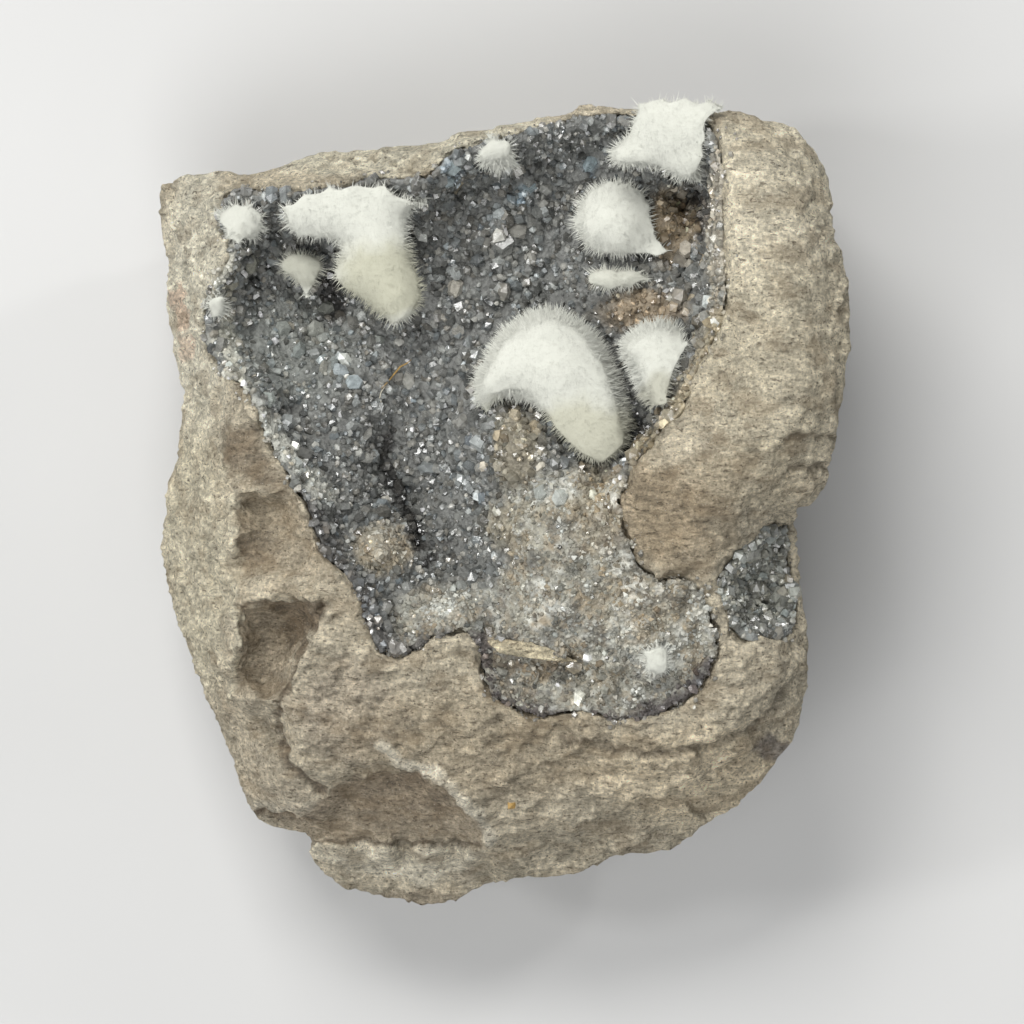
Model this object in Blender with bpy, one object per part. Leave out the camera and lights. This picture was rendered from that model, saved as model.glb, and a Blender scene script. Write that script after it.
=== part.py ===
"""Strontianite on limestone: a hand specimen that lies on its broken back, its display face up.

White balls and sprays of strontianite needles sit on a druse of grey quartz, which lines a hollow in
a piece of grey-tan limestone. X runs to the right, Y up the display face, Z out of it, and the
specimen stands on Z = 0. Lengths in this script are millimetres, and only solid() turns them into
the metres of the model. A place on the display face is first given as a pixel (column, row) of the
photograph that the specimen is drawn from, and face_point() turns it into millimetres.
"""
import math

import bpy
import numpy as np
from mathutils import Vector, geometry, noise
from mathutils.bvhtree import BVHTree

# Driving dimensions
WIDTH = 46.0
GAP = 0.3
CRUST_THICKNESS = 1.1
CRUST_EDGE_THICKNESS = 0.6
CRUST_GROWTH = 1.5
CRUST_INSET = 0.35
NEAR_WALL = 0.75
HOLLOW_WALL = 2.1
ROCK_SPACING = 1.45
HOLLOW_SPACING = 2.1
OUTLINE_STEP = 2.5
HOLLOW_STEP = 1.8

# The specimen's box in the photograph
LEFT_PX = 155
RIGHT_PX = 850
TOP_PX = 97
BOTTOM_PX = 909
PIXEL = WIDTH / (RIGHT_PX - LEFT_PX)

METRE = 0.001

# Colour and roughness of each mineral
LIMESTONE = ((0.36, 0.33, 0.27), 0.9)
QUARTZ = ((0.22, 0.23, 0.24), 0.3)
STRONTIANITE = ((0.82, 0.82, 0.76), 0.6)

# The edge of the rock, clockwise from its top left corner
ROCK_OUTLINE = [
    (155, 184), (181, 173), (221, 168), (255, 174), (292, 159), (325, 148), (376, 147), (438, 141),
    (459, 132), (480, 131), (523, 122), (551, 117), (589, 105), (605, 107), (640, 110), (700, 112),
    (732, 112), (761, 121), (793, 128), (805, 144), (816, 152), (829, 183), (832, 197), (830, 213),
    (834, 233), (842, 256), (847, 290), (850, 351), (848, 365), (843, 399), (837, 415), (837, 440),
    (830, 454), (828, 481), (812, 504), (797, 504), (795, 520), (797, 540), (802, 580), (807, 610),
    (810, 638), (808, 682), (803, 716), (798, 735), (787, 750), (759, 787), (743, 802), (700, 831),
    (679, 849), (647, 856), (615, 858), (576, 876), (541, 882), (516, 881), (489, 889), (457, 903),
    (417, 909), (366, 900), (339, 892), (318, 879), (304, 857), (310, 844), (306, 836), (280, 833),
    (256, 824), (245, 809), (225, 750), (200, 690), (171, 619), (159, 574), (156, 551), (162, 515),
    (164, 484), (174, 454), (181, 393), (174, 371), (163, 299), (166, 269), (162, 240), (155, 212),
]

# The edge of the main hollow with the pale crust under it, and of the small one at the right
VUG_OUTLINE = [
    (211, 200), (233, 190), (282, 188), (340, 184), (370, 175), (428, 176), (446, 152), (485, 138),
    (520, 132), (565, 118), (600, 113), (640, 117), (700, 118), (716, 124), (722, 150), (727, 180),
    (725, 225), (727, 270), (729, 300), (720, 335), (709, 354), (693, 385), (685, 418), (662, 433),
    (650, 453), (632, 475), (622, 500), (628, 530), (640, 560), (658, 578), (690, 566), (703, 585),
    (716, 625), (722, 652), (710, 678), (690, 700), (665, 716), (640, 722), (610, 722), (590, 713),
    (560, 717), (530, 718), (505, 708), (485, 690), (478, 665), (479, 643), (462, 632), (433, 640),
    (417, 653), (395, 663), (376, 650), (364, 630), (360, 605), (346, 579), (325, 562), (315, 539),
    (301, 503), (282, 470), (268, 446), (257, 420), (249, 400), (235, 385), (220, 371), (205, 352),
    (199, 331), (201, 308), (211, 285), (226, 260), (229, 246), (215, 228),
]
POCKET_OUTLINE = [
    (716, 560), (738, 548), (760, 524), (784, 512), (790, 528), (791, 560), (797, 600), (801, 632),
    (782, 642), (760, 638), (742, 644), (730, 640), (724, 610), (712, 584),
]

# Heights of the rock's face, as if it had no hollow: column, row, millimetres above the base
ROCK_HEIGHTS = [
    (160, 188, 11.5), (157, 212, 11.0), (185, 190, 14.0), (200, 215, 16.5), (165, 260, 10.0),
    (185, 270, 14.5), (200, 300, 17.0), (165, 300, 9.8), (175, 340, 12.0), (182, 393, 10.5),
    (222, 385, 18.5), (170, 460, 10.0), (200, 450, 15.5), (238, 440, 20.5), (160, 550, 9.0),
    (190, 540, 14.0), (225, 540, 20.0), (175, 625, 9.5), (205, 630, 15.0), (236, 640, 20.0),
    (204, 692, 10.5), (226, 745, 11.0), (228, 700, 15.0), (250, 805, 11.5), (282, 830, 11.5),
    (230, 170, 15.0), (232, 186, 17.0), (292, 161, 16.0), (300, 185, 19.5), (325, 150, 16.0),
    (400, 146, 17.0), (400, 172, 20.5), (459, 134, 18.5), (455, 150, 21.0), (523, 124, 19.5),
    (520, 132, 21.0), (589, 107, 20.5), (600, 113, 21.5), (660, 112, 22.5), (720, 116, 24.0),
    (760, 125, 23.5), (795, 132, 22.5), (815, 155, 22.5), (740, 150, 25.5), (780, 180, 26.0),
    (829, 190, 22.5), (810, 210, 25.4), (727, 200, 26.2), (840, 260, 23.0), (815, 290, 26.0),
    (760, 300, 27.0), (730, 280, 26.4), (714, 352, 25.0), (847, 340, 23.2), (820, 380, 26.0),
    (843, 400, 23.5), (760, 400, 26.8), (708, 385, 24.8), (690, 425, 24.8), (836, 430, 23.5),
    (826, 480, 22.5), (800, 498, 23.0),
    (770, 480, 25.2), (700, 470, 26.0), (650, 470, 25.0), (740, 520, 24.0), (690, 550, 24.2),
    (640, 560, 23.6), (795, 530, 19.0), (800, 590, 18.0), (725, 590, 22.4), (808, 640, 17.5),
    (780, 650, 20.5), (735, 655, 21.8), (700, 690, 21.8), (802, 710, 17.0), (790, 735, 16.5),
    (755, 700, 20.8), (700, 745, 20.8), (745, 795, 15.5), (700, 825, 14.5), (650, 852, 13.5),
    (660, 790, 18.8), (600, 740, 20.8), (560, 800, 18.0), (600, 855, 14.0), (540, 877, 12.5),
    (530, 735, 20.0), (470, 700, 20.6), (470, 780, 18.6), (490, 850, 15.0), (440, 660, 21.0),
    (420, 720, 19.8), (370, 690, 20.8), (340, 640, 21.6), (310, 680, 20.4), (330, 735, 18.8),
    (400, 800, 16.0), (330, 800, 15.6), (400, 842, 14.0), (320, 838, 13.0), (280, 780, 15.5),
    (255, 720, 16.5), (300, 590, 21.8), (290, 540, 21.6), (255, 480, 20.8), (345, 600, 21.8),
    (480, 640, 21.0), (250, 585, 20.2), (262, 445, 20.2),
]

# Heights of the crusts' faces on the hollow's floors
VUG_HEIGHTS = [
    (240, 215, 16.0), (300, 205, 17.0), (360, 200, 17.5), (250, 260, 14.0), (228, 300, 14.0),
    (280, 300, 13.8), (330, 290, 11.2), (330, 262, 12.6), (375, 250, 15.0), (270, 355, 15.5),
    (240, 345, 15.6), (300, 400, 16.2), (262, 388, 17.4), (300, 440, 17.2), (330, 480, 17.6),
    (400, 300, 15.0), (350, 380, 16.4), (400, 400, 14.8), (420, 345, 14.6), (400, 210, 17.0),
    (450, 180, 17.0), (455, 240, 15.6), (450, 300, 15.2), (450, 420, 15.6), (460, 470, 15.4),
    (500, 170, 17.6), (560, 145, 18.0), (610, 140, 18.4), (520, 240, 15.6), (560, 280, 15.0),
    (540, 330, 15.6), (600, 200, 16.4), (650, 135, 19.6), (695, 135, 21.0), (655, 215, 18.6),
    (675, 185, 15.6), (700, 205, 13.8), (692, 240, 15.8), (640, 245, 17.4), (650, 300, 18.4),
    (605, 305, 17.6), (682, 320, 19.2), (668, 360, 20.0), (676, 392, 20.0), (640, 345, 18.0),
    (650, 385, 17.6), (640, 440, 13.4), (628, 462, 14.2), (636, 405, 15.0), (560, 390, 16.4),
    (590, 430, 16.4), (395, 455, 14.2), (408, 510, 13.8),
    (440, 520, 15.6), (475, 520, 15.4), (430, 560, 15.2), (350, 520, 17.2), (385, 548, 19.4),
    (365, 575, 17.6), (410, 600, 18.4), (380, 610, 18.0), (398, 640, 18.8), (450, 600, 18.8),
    (440, 625, 20.0), (480, 590, 18.4), (480, 615, 19.8), (515, 448, 21.8), (508, 425, 20.0),
    (538, 480, 21.4), (515, 500, 20.0), (495, 470, 19.0), (490, 545, 17.0), (520, 540, 20.8),
    (550, 520, 21.8), (580, 490, 22.4), (600, 520, 23.0), (550, 590, 21.4), (600, 560, 22.6),
    (520, 600, 20.6), (590, 620, 21.8), (640, 600, 22.4), (690, 600, 22.4), (700, 650, 20.8),
    (650, 640, 21.8), (620, 670, 20.6), (660, 700, 19.6), (600, 700, 19.4), (560, 690, 19.4),
    (510, 690, 18.8), (500, 665, 19.8), (530, 650, 21.4), (560, 662, 20.2), (500, 630, 20.2),
]
POCKET_HEIGHTS = [
    (740, 560, 19.4), (770, 535, 18.6), (785, 580, 17.2), (755, 590, 18.4), (735, 605, 19.6),
    (790, 625, 17.4), (760, 625, 18.6),
]

# Smooth broken faces let into the rock: outline, then three heights that give its plane
BROKEN_FACES = [
    ([(244, 500), (290, 503), (312, 540), (322, 588), (240, 582)],
     [(250, 505, 18.8), (300, 520, 20.6), (250, 580, 19.8)]),
    ([(240, 602), (328, 606), (300, 645), (270, 702), (238, 690)],
     [(240, 602, 18.4), (328, 606, 18.8), (240, 700, 15.6)]),
    ([(236, 712), (278, 706), (282, 742), (246, 772), (234, 745)],
     [(236, 712, 14.2), (280, 715, 15.6), (245, 770, 12.4)]),
    ([(335, 790), (392, 768), (430, 784), (462, 806), (484, 838), (440, 850), (330, 846), (312, 830)],
     [(340, 790, 15.0), (460, 806, 16.4), (400, 846, 12.6)]),
    ([(246, 822), (322, 832), (312, 846), (240, 846)],
     [(250, 824, 9.8), (310, 838, 10.8), (260, 845, 9.2)]),
    ([(290, 850), (345, 851), (400, 849), (462, 850), (500, 868), (500, 930), (290, 930)],
     [(320, 856, 10.6), (480, 862, 11.4), (400, 900, 9.2)]),
]

BROKEN_FACE_WALL = 0.45

# Ledges: the line of each edge, with the lower ground on its right-hand side, its drop and its reach
LEDGES = [
    ([(780, 440), (812, 436), (840, 440)], 0.7, 3.0),
    ([(790, 470), (812, 466), (836, 470)], 0.8, 3.0),
    ([(560, 738), (640, 756), (705, 748), (748, 732), (772, 712), (790, 690)], 0.9, 3.5),
    ([(560, 838), (640, 815), (690, 792), (735, 772)], 0.8, 3.0),
    ([(492, 652), (530, 655), (576, 663)], 1.3, 2.2),
    ([(300, 690), (345, 672), (400, 662)], 0.5, 2.5),
    ([(500, 780), (560, 770), (640, 775)], 0.5, 3.0),
]

LEDGE_WALL = 0.35

# Cracks and gaps between crystals: the line, its depth and its half width
CRACKS = [
    ([(278, 738), (283, 765), (302, 784), (335, 805)], 0.8, 0.6),
    ([(385, 430), (383, 455), (395, 490), (412, 520), (415, 545)], 1.6, 0.9),
    ([(700, 185), (712, 215), (703, 245)], 1.2, 0.9),
]
RIDGES = [
    ([(392, 752), (432, 770), (462, 796), (484, 826), (496, 848)], 0.8, 1.0),
    ([(236, 395), (268, 430), (300, 465), (320, 495)], 0.7, 1.0),
]

# Random lumps: on the rock, where the flat plate at the upper right stays calmer, and on the crusts
ROCK_LUMP = 0.38
CRUST_LUMP = 0.25
PLATE_LEFT = 13.0
PLATE_FOOT = -2.0
PLATE_FADE = 4.0

# The rock's broken sides: levels from the edge (0) to the base (1), how far they draw in, and the
# flat breaks that they are made of
WALL_LEVELS = [0.0, 0.09, 0.22, 0.37, 0.52, 0.68, 0.84, 0.94, 1.0]
WALL_INSET = 3.4
FOOT_INSET = 1.3
BREAK_SPACING = 7.5
BREAK_TILT = 0.42
BREAK_STEP = 0.5
BREAK_LIMIT = 1.9
BREAK_BEND = 1.2
EDGE_COVER = 0.2

# Quartz crystals of the crusts
CRYSTAL_SPACING = 1.95
CRYSTAL_RADIUS = (0.55, 0.85)
CRYSTAL_HEIGHT = (0.55, 1.05)
CRYSTAL_SIDES = 6

# Sprays of strontianite: outline, radius of the rounding at their edge, height of the dome over it,
# and the height of the spray's widest part above the base
SPRAYS = {
    "strontianite_big_ball": (
        [(478, 372), (488, 348), (503, 328), (520, 315), (540, 307), (560, 309), (582, 321), (598, 334),
         (608, 352), (618, 374), (625, 396), (630, 420), (630, 452), (618, 464), (596, 469), (572, 466),
         (556, 450), (550, 434), (542, 414), (527, 401), (510, 396), (496, 404), (486, 416), (474, 410),
         (471, 392)],
        4.6, 4.6, 18.3),
    "strontianite_right_ball": (
        [(612, 346), (624, 335), (640, 323), (660, 319), (680, 325), (692, 340), (699, 354), (694, 368),
         (685, 385), (679, 400), (672, 416), (664, 420), (652, 414), (642, 402), (630, 386), (620, 368)],
        2.8, 2.7, 21.0),
    "strontianite_centre_ball": (
        [(573, 219), (579, 200), (591, 185), (610, 179), (630, 181), (645, 191), (652, 206), (654, 225),
         (662, 238), (670, 250), (664, 262), (654, 258), (648, 247), (638, 256), (620, 257), (600, 256),
         (586, 247), (578, 236)],
        2.5, 2.4, 18.0),
    "strontianite_flat_spray": (
        [(590, 272), (594, 266), (606, 264), (622, 264), (640, 266), (654, 279), (640, 285), (620, 290),
         (601, 291), (591, 283)],
        0.9, 1.0, 18.8),
    "strontianite_top_right_cluster": (
        [(608, 152), (616, 141), (630, 138), (632, 122), (636, 104), (648, 98), (671, 98), (700, 104),
         (720, 103), (730, 111), (722, 121), (713, 135), (706, 150), (702, 185), (690, 185), (680, 179),
         (664, 174), (650, 165), (640, 170), (624, 172), (612, 166)],
        2.2, 2.1, 22.2),
    "strontianite_top_spray": (
        [(476, 155), (483, 142), (498, 136), (510, 142), (520, 153), (519, 166), (508, 174), (492, 174),
         (481, 166)],
        1.3, 1.3, 19.8),
    "strontianite_left_cluster": (
        [(278, 206), (290, 199), (320, 190), (340, 184), (370, 183), (400, 185), (426, 186), (430, 195),
         (416, 210), (406, 226), (412, 240), (411, 255), (420, 275), (424, 296), (415, 315), (405, 327),
         (390, 324), (375, 311), (360, 300), (345, 290), (334, 284), (331, 270), (341, 256), (346, 246),
         (335, 238), (318, 240), (298, 238), (285, 228)],
        1.9, 2.0, 18.4),
    "strontianite_corner_ball": (
        [(215, 214), (226, 203), (244, 200), (260, 206), (268, 222), (262, 238), (248, 247), (232, 243),
         (220, 232)],
        1.6, 1.6, 17.9),
    "strontianite_small_spray": (
        [(279, 262), (284, 250), (298, 247), (314, 250), (325, 262), (322, 276), (312, 284), (309, 300),
         (302, 284), (288, 278)],
        1.2, 1.2, 15.6),
    "strontianite_rim_spray": (
        [(203, 302), (212, 293), (226, 296), (233, 302), (227, 307), (233, 314), (224, 315), (222, 322),
         (209, 317)],
        0.9, 0.9, 17.0),
    "strontianite_lower_spray": (
        [(642, 650), (652, 643), (666, 646), (672, 658), (668, 672), (656, 678), (645, 670)],
        1.0, 0.8, 22.0),
}
NEEDLE_STEP = 1.05
RIM_THICKNESS = 0.25
CLEAR_REACH = 0.45
WALL_CLIMB = 2.0
NEEDLE_RELIEF = 0.5
SPRAY_LUMP = 0.25
SPRAY_RINGS = (0.32, 0.55, 0.85)
SPRAY_SPACING = 1.45
UNDERSIDE_SPACING = 2.0


def face_point(pixel):
    """Millimetres on the display face of one pixel of the photograph."""
    middle = ((LEFT_PX + RIGHT_PX) / 2, (TOP_PX + BOTTOM_PX) / 2)
    return ((pixel[0] - middle[0]) * PIXEL, (middle[1] - pixel[1]) * PIXEL)


def face_points(pixels):
    return np.array([face_point(pixel) for pixel in pixels])


def unit(vectors):
    return vectors / np.linalg.norm(vectors, axis=-1, keepdims=True)


def smooth_step(value):
    clipped = np.clip(value, 0.0, 1.0)
    return clipped * clipped * (3.0 - 2.0 * clipped)


def heights_between(spots):
    """A function that gives the smooth height between spot heights (column, row, millimetres)."""
    softness = 1.5
    places = face_points(spots)
    heights = np.array([spot[2] for spot in spots])
    mean = heights.mean()

    def spread(points):
        apart = np.linalg.norm(points[:, None, :] - places[None, :, :], axis=2)
        return np.sqrt(apart ** 2 + softness ** 2)

    weights = np.linalg.solve(spread(places), heights - mean)
    return lambda points: spread(points) @ weights + mean


def nearest_on_line(points, line, closed):
    """Distance from each point to a line of corners, and whether it is on the line's right."""
    starts = line if closed else line[:-1]
    ends = np.roll(line, -1, axis=0) if closed else line[1:]
    best = np.full(len(points), 1e9)
    right = np.zeros(len(points), dtype=bool)
    for start, end in zip(starts, ends):
        along = end - start
        offset = points - start
        share = np.clip(offset @ along / (along @ along), 0.0, 1.0)
        distance = np.linalg.norm(offset - share[:, None] * along, axis=1)
        closer = distance < best
        side = along[0] * offset[:, 1] - along[1] * offset[:, 0] < 0.0
        best = np.where(closer, distance, best)
        right = np.where(closer, side, right)
    return best, right


def inside(points, loop):
    """True for each point that lies within a closed outline."""
    found = np.zeros(len(points), dtype=bool)
    for start, end in zip(loop, np.roll(loop, -1, axis=0)):
        crosses = (start[1] > points[:, 1]) != (end[1] > points[:, 1])
        rise = end[1] - start[1] if end[1] != start[1] else 1.0
        meets = start[0] + (points[:, 1] - start[1]) / rise * (end[0] - start[0])
        found ^= crosses & (points[:, 0] < meets)
    return found


def depth_inside(points, loop):
    """Distance in from a closed outline, negative outside it."""
    distance, _ = nearest_on_line(points, loop, closed=True)
    return np.where(inside(points, loop), distance, -distance)


def bumps(points, size, seed):
    """Soft random bumps between about -1 and 1, for points in two or three dimensions."""
    spread = np.zeros((len(points), 3))
    spread[:, :points.shape[1]] = points / size
    spread[:, 0] += seed
    return np.array([noise.noise(Vector(place)) for place in spread])


ROCK_LOOP = face_points(ROCK_OUTLINE)
rock_heights = heights_between(ROCK_HEIGHTS)
vug_heights = heights_between(VUG_HEIGHTS)
pocket_heights = heights_between(POCKET_HEIGHTS)


def plane_height(points, spots):
    """Height of the plane through three spot heights."""
    places = np.column_stack([face_points(spots), np.ones(3)])
    slope = np.linalg.solve(places, np.array([spot[2] for spot in spots]))
    return points @ slope[:2] + slope[2]


def line_relief(points):
    """Ledges, cracks and ridges, as a change of height."""
    change = np.zeros(len(points))
    for pixels, drop, reach in LEDGES:
        distance, right = nearest_on_line(points, face_points(pixels), closed=False)
        fall = np.clip(distance / LEDGE_WALL, 0.0, 1.0) * np.clip(1.0 - distance / reach, 0.0, 1.0)
        change -= np.where(right, drop * fall, 0.0)
    for pixels, depth, half_width in CRACKS:
        distance, _ = nearest_on_line(points, face_points(pixels), closed=False)
        change -= depth * np.clip(1.0 - distance / half_width, 0.0, 1.0)
    for pixels, height, half_width in RIDGES:
        distance, _ = nearest_on_line(points, face_points(pixels), closed=False)
        change += height * np.clip(1.0 - distance / half_width, 0.0, 1.0)
    return change


def rock_face(points):
    """Height of the rock's face with its broken faces, ledges and lumps, but no hollow."""
    height = rock_heights(points)
    for pixels, spots in BROKEN_FACES:
        sunk = smooth_step(depth_inside(points, face_points(pixels)) / BROKEN_FACE_WALL)
        floor = np.minimum(height, plane_height(points, spots))
        height = height * (1.0 - sunk) + floor * sunk
    on_plate = smooth_step((points[:, 0] - PLATE_LEFT) / PLATE_FADE)
    on_plate = on_plate * smooth_step((points[:, 1] - PLATE_FOOT) / PLATE_FADE)
    lump = ROCK_LUMP * (1.0 - 0.65 * on_plate)
    height += lump * bumps(points, 3.4, 3.1)
    height += 0.5 * lump * bumps(points, 1.7, 8.7)
    return height + line_relief(points)


def hollow_face(points, loop, floor_heights):
    """Height of a crust's face, without its crystals: down from the rock to the hollow's floor."""
    sunk = smooth_step(depth_inside(points, loop) / HOLLOW_WALL)
    floor = floor_heights(points) + line_relief(points) + CRUST_LUMP * bumps(points, 2.4, 21.0)
    return rock_face(points) * (1.0 - sunk) + floor * sunk


def densified(loop, step):
    """The same closed outline with points added on its long edges."""
    points = []
    for start, end in zip(loop, np.roll(loop, -1, axis=0)):
        parts = max(1, math.ceil(np.linalg.norm(end - start) / step))
        points += [start + (end - start) * part / parts for part in range(parts)]
    return np.array(points)


def thinned(points, distance):
    """The points in order, without those that are nearer than a distance to one already kept."""
    kept = [points[0]]
    for point in points[1:]:
        if np.linalg.norm(np.array(kept) - point, axis=1).min() > distance:
            kept.append(point)
    return np.array(kept)


def inset(loop, distance):
    """A clockwise outline moved inwards, without the corners that would then lie too near it."""
    along = unit(loop - np.roll(loop, 1, axis=0)) + unit(np.roll(loop, -1, axis=0) - loop)
    along = unit(along)
    moved = loop + distance * np.column_stack([along[:, 1], -along[:, 0]])
    return thinned(moved[depth_inside(moved, loop) > 0.9 * distance], 0.3)


def scattered(spacing, seed):
    """A jittered triangular grid of points over the whole face."""
    rng = np.random.default_rng(seed)
    half_width = WIDTH / 2
    half_height = (BOTTOM_PX - TOP_PX) * PIXEL / 2
    row_step = spacing * math.sqrt(3) / 2
    rows = []
    for index, y in enumerate(np.arange(-half_height, half_height, row_step)):
        x = np.arange(-half_width, half_width, spacing) + spacing / 2 * (index % 2)
        rows.append(np.column_stack([x, np.full(len(x), y)]))
    points = np.vstack(rows)
    return points + rng.uniform(-0.2, 0.2, points.shape) * spacing


def triangulated(loops, loose):
    """Triangles inside the first outline, with an edge along every outline: points, faces, loops."""
    flat = []
    edges = []
    numbers = []
    for loop in loops:
        first = len(flat)
        flat += [Vector(point) for point in loop]
        edges += [(first + i, first + (i + 1) % len(loop)) for i in range(len(loop))]
        numbers.append(range(first, first + len(loop)))
    flat += [Vector(point) for point in loose]
    nearest = 1e-5
    keep_inside = 1
    made = geometry.delaunay_2d_cdt(flat, edges, [], keep_inside, nearest)
    place = {old: new for new, olds in enumerate(made[3]) for old in olds}
    points = np.array([tuple(point) for point in made[0]])
    return points, [tuple(face) for face in made[2]], [[place[i] for i in loop] for loop in numbers]


def far_enough(points, others, distance):
    """The points that keep a distance from all the others."""
    apart = np.linalg.norm(points[:, None, :] - others[None, :, :], axis=2)
    return points[apart.min(axis=1) > distance]


def lifted(points, heights):
    return np.column_stack([points, heights])


def surface_tree(points, faces):
    return BVHTree.FromPolygons([tuple(point) for point in points], faces)


def surface_under(tree, x, y):
    """Height of a surface straight below a point, or None beside it."""
    hit = tree.ray_cast(Vector((x, y, 100.0)), Vector((0.0, 0.0, -1.0)))
    return hit[0].z if hit[0] else None


def crystal_spots(loop, seed):
    """Well spaced places for crystals inside a crust, clear of its edge and of the sprays."""
    rng = np.random.default_rng(seed)
    edge_room = 1.25
    spray_room = 0.9
    low = loop.min(axis=0)
    high = loop.max(axis=0)
    candidates = rng.uniform(low, high, (6000, 2))
    candidates = candidates[depth_inside(candidates, loop) > edge_room]
    for outline, _, _, _ in SPRAYS.values():
        candidates = candidates[depth_inside(candidates, face_points(outline)) < -spray_room]
    kept = []
    for candidate in candidates:
        if all(np.linalg.norm(candidate - other) > CRYSTAL_SPACING for other in kept):
            kept.append(candidate)
    return kept


def crystal_points(spots, seed):
    """Points of six-sided crystals: a ring of corners round each tip, with the height they add."""
    rng = np.random.default_rng(seed)
    points = []
    rises = []
    for spot in spots:
        radius = rng.uniform(*CRYSTAL_RADIUS)
        height = rng.uniform(*CRYSTAL_HEIGHT)
        turn = rng.uniform(0.0, math.tau)
        lean = rng.uniform(-0.3, 0.3, 2) * radius
        for side in range(CRYSTAL_SIDES):
            angle = turn + math.tau * side / CRYSTAL_SIDES
            points.append(spot + radius * np.array([math.cos(angle), math.sin(angle)]))
            rises.append(0.0)
        points.append(spot + lean)
        rises.append(height)
    return np.array(points), np.array(rises)


def crust_top(loop, floor_heights, seed):
    """The crust's face: points with heights, faces, and its edge loop."""
    edge = inset(densified(loop, HOLLOW_STEP), CRUST_INSET)
    tips, rises = crystal_points(crystal_spots(loop, seed), seed + 1)
    near_wall = far_enough(thinned(inset(edge, NEAR_WALL), 0.5), tips, 0.35)
    fill = scattered(HOLLOW_SPACING, seed + 2)
    fill = fill[depth_inside(fill, loop) > CRUST_INSET + 0.8]
    fill = far_enough(fill, np.vstack([edge, near_wall]), 0.9)
    fill = far_enough(fill, tips, 1.1)
    loose = np.vstack([near_wall, fill, tips])
    points, faces, loops = triangulated([edge], loose)
    heights = hollow_face(points, loop, floor_heights)
    for tip, rise in zip(tips[rises > 0.0], rises[rises > 0.0]):
        apart = np.linalg.norm(points - tip, axis=1)
        heights[apart.argmin()] += rise
    return lifted(points, heights), faces, loops[0]


def rock_sheet(crusts):
    """The rock's whole display face, sunk under the crusts: points, faces, edge loop, crust loops."""
    outline = densified(ROCK_LOOP, OUTLINE_STEP)
    loops = [outline]
    loose = []
    for crust in crusts:
        rim = densified(crust["loop"], HOLLOW_STEP)
        loops += [rim, inset(rim, CRUST_INSET)]
        loose.append(thinned(inset(inset(rim, CRUST_INSET), NEAR_WALL), 0.5))
    open_rock = scattered(ROCK_SPACING, 11)
    open_rock = open_rock[depth_inside(open_rock, ROCK_LOOP) > 0.5 * ROCK_SPACING]
    floors = scattered(HOLLOW_SPACING, 12)
    for crust in crusts:
        open_rock = open_rock[depth_inside(open_rock, crust["loop"]) < -0.5 * ROCK_SPACING]
    floors = np.vstack([
        floors[depth_inside(floors, crust["loop"]) > CRUST_INSET + 0.8] for crust in crusts
    ])
    fixed = np.vstack(loops + loose)
    loose += [far_enough(open_rock, fixed, 0.7), far_enough(floors, fixed, 1.0)]
    points, faces, numbers = triangulated(loops, np.vstack(loose))
    heights = rock_face(points)
    for crust in crusts:
        depth = depth_inside(points, crust["loop"])
        under = depth > 0.5 * CRUST_INSET
        grown = smooth_step((depth - CRUST_INSET) / CRUST_GROWTH)
        thickness = CRUST_EDGE_THICKNESS + (CRUST_THICKNESS - CRUST_EDGE_THICKNESS) * grown
        face = hollow_face(points, crust["loop"], crust["floor"])
        tree = crust["tree"]
        for index in np.flatnonzero(under):
            crust_face = surface_under(tree, *points[index])
            height = face[index] if crust_face is None else min(face[index], crust_face)
            heights[index] = height - thickness[index] - GAP
    return lifted(points, heights), faces, numbers[0], [numbers[2 + 2 * i] for i in range(len(crusts))]


def smoothed_loop(loop, rounds):
    for _ in range(rounds):
        loop = (np.roll(loop, 1, axis=0) + 2.0 * loop + np.roll(loop, -1, axis=0)) / 4.0
    return loop


def wall_rings(edge):
    """Rings of points from the display face's edge down to the base, as if the sides were smooth."""
    plan = edge[:, :2]
    calm_plan = smoothed_loop(plan, 10)
    outward = outward_ways(plan)
    rings = []
    for level in WALL_LEVELS[1:]:
        blend = min(1.0, 1.6 * level)
        foot = FOOT_INSET * smooth_step((level - 0.85) / 0.15)
        ring = plan * (1.0 - blend) + calm_plan * blend
        ring = ring - outward * (WALL_INSET * level ** 1.3 + foot)
        rings.append(lifted(ring, edge[:, 2] * (1.0 - level)))
    return rings


def outward_ways(plan):
    """Unit directions out of a clockwise outline, smoothed along it."""
    along = np.roll(plan, -6, axis=0) - np.roll(plan, 6, axis=0)
    return unit(smoothed_loop(np.column_stack([-along[:, 1], along[:, 0]]), 6))


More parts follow.
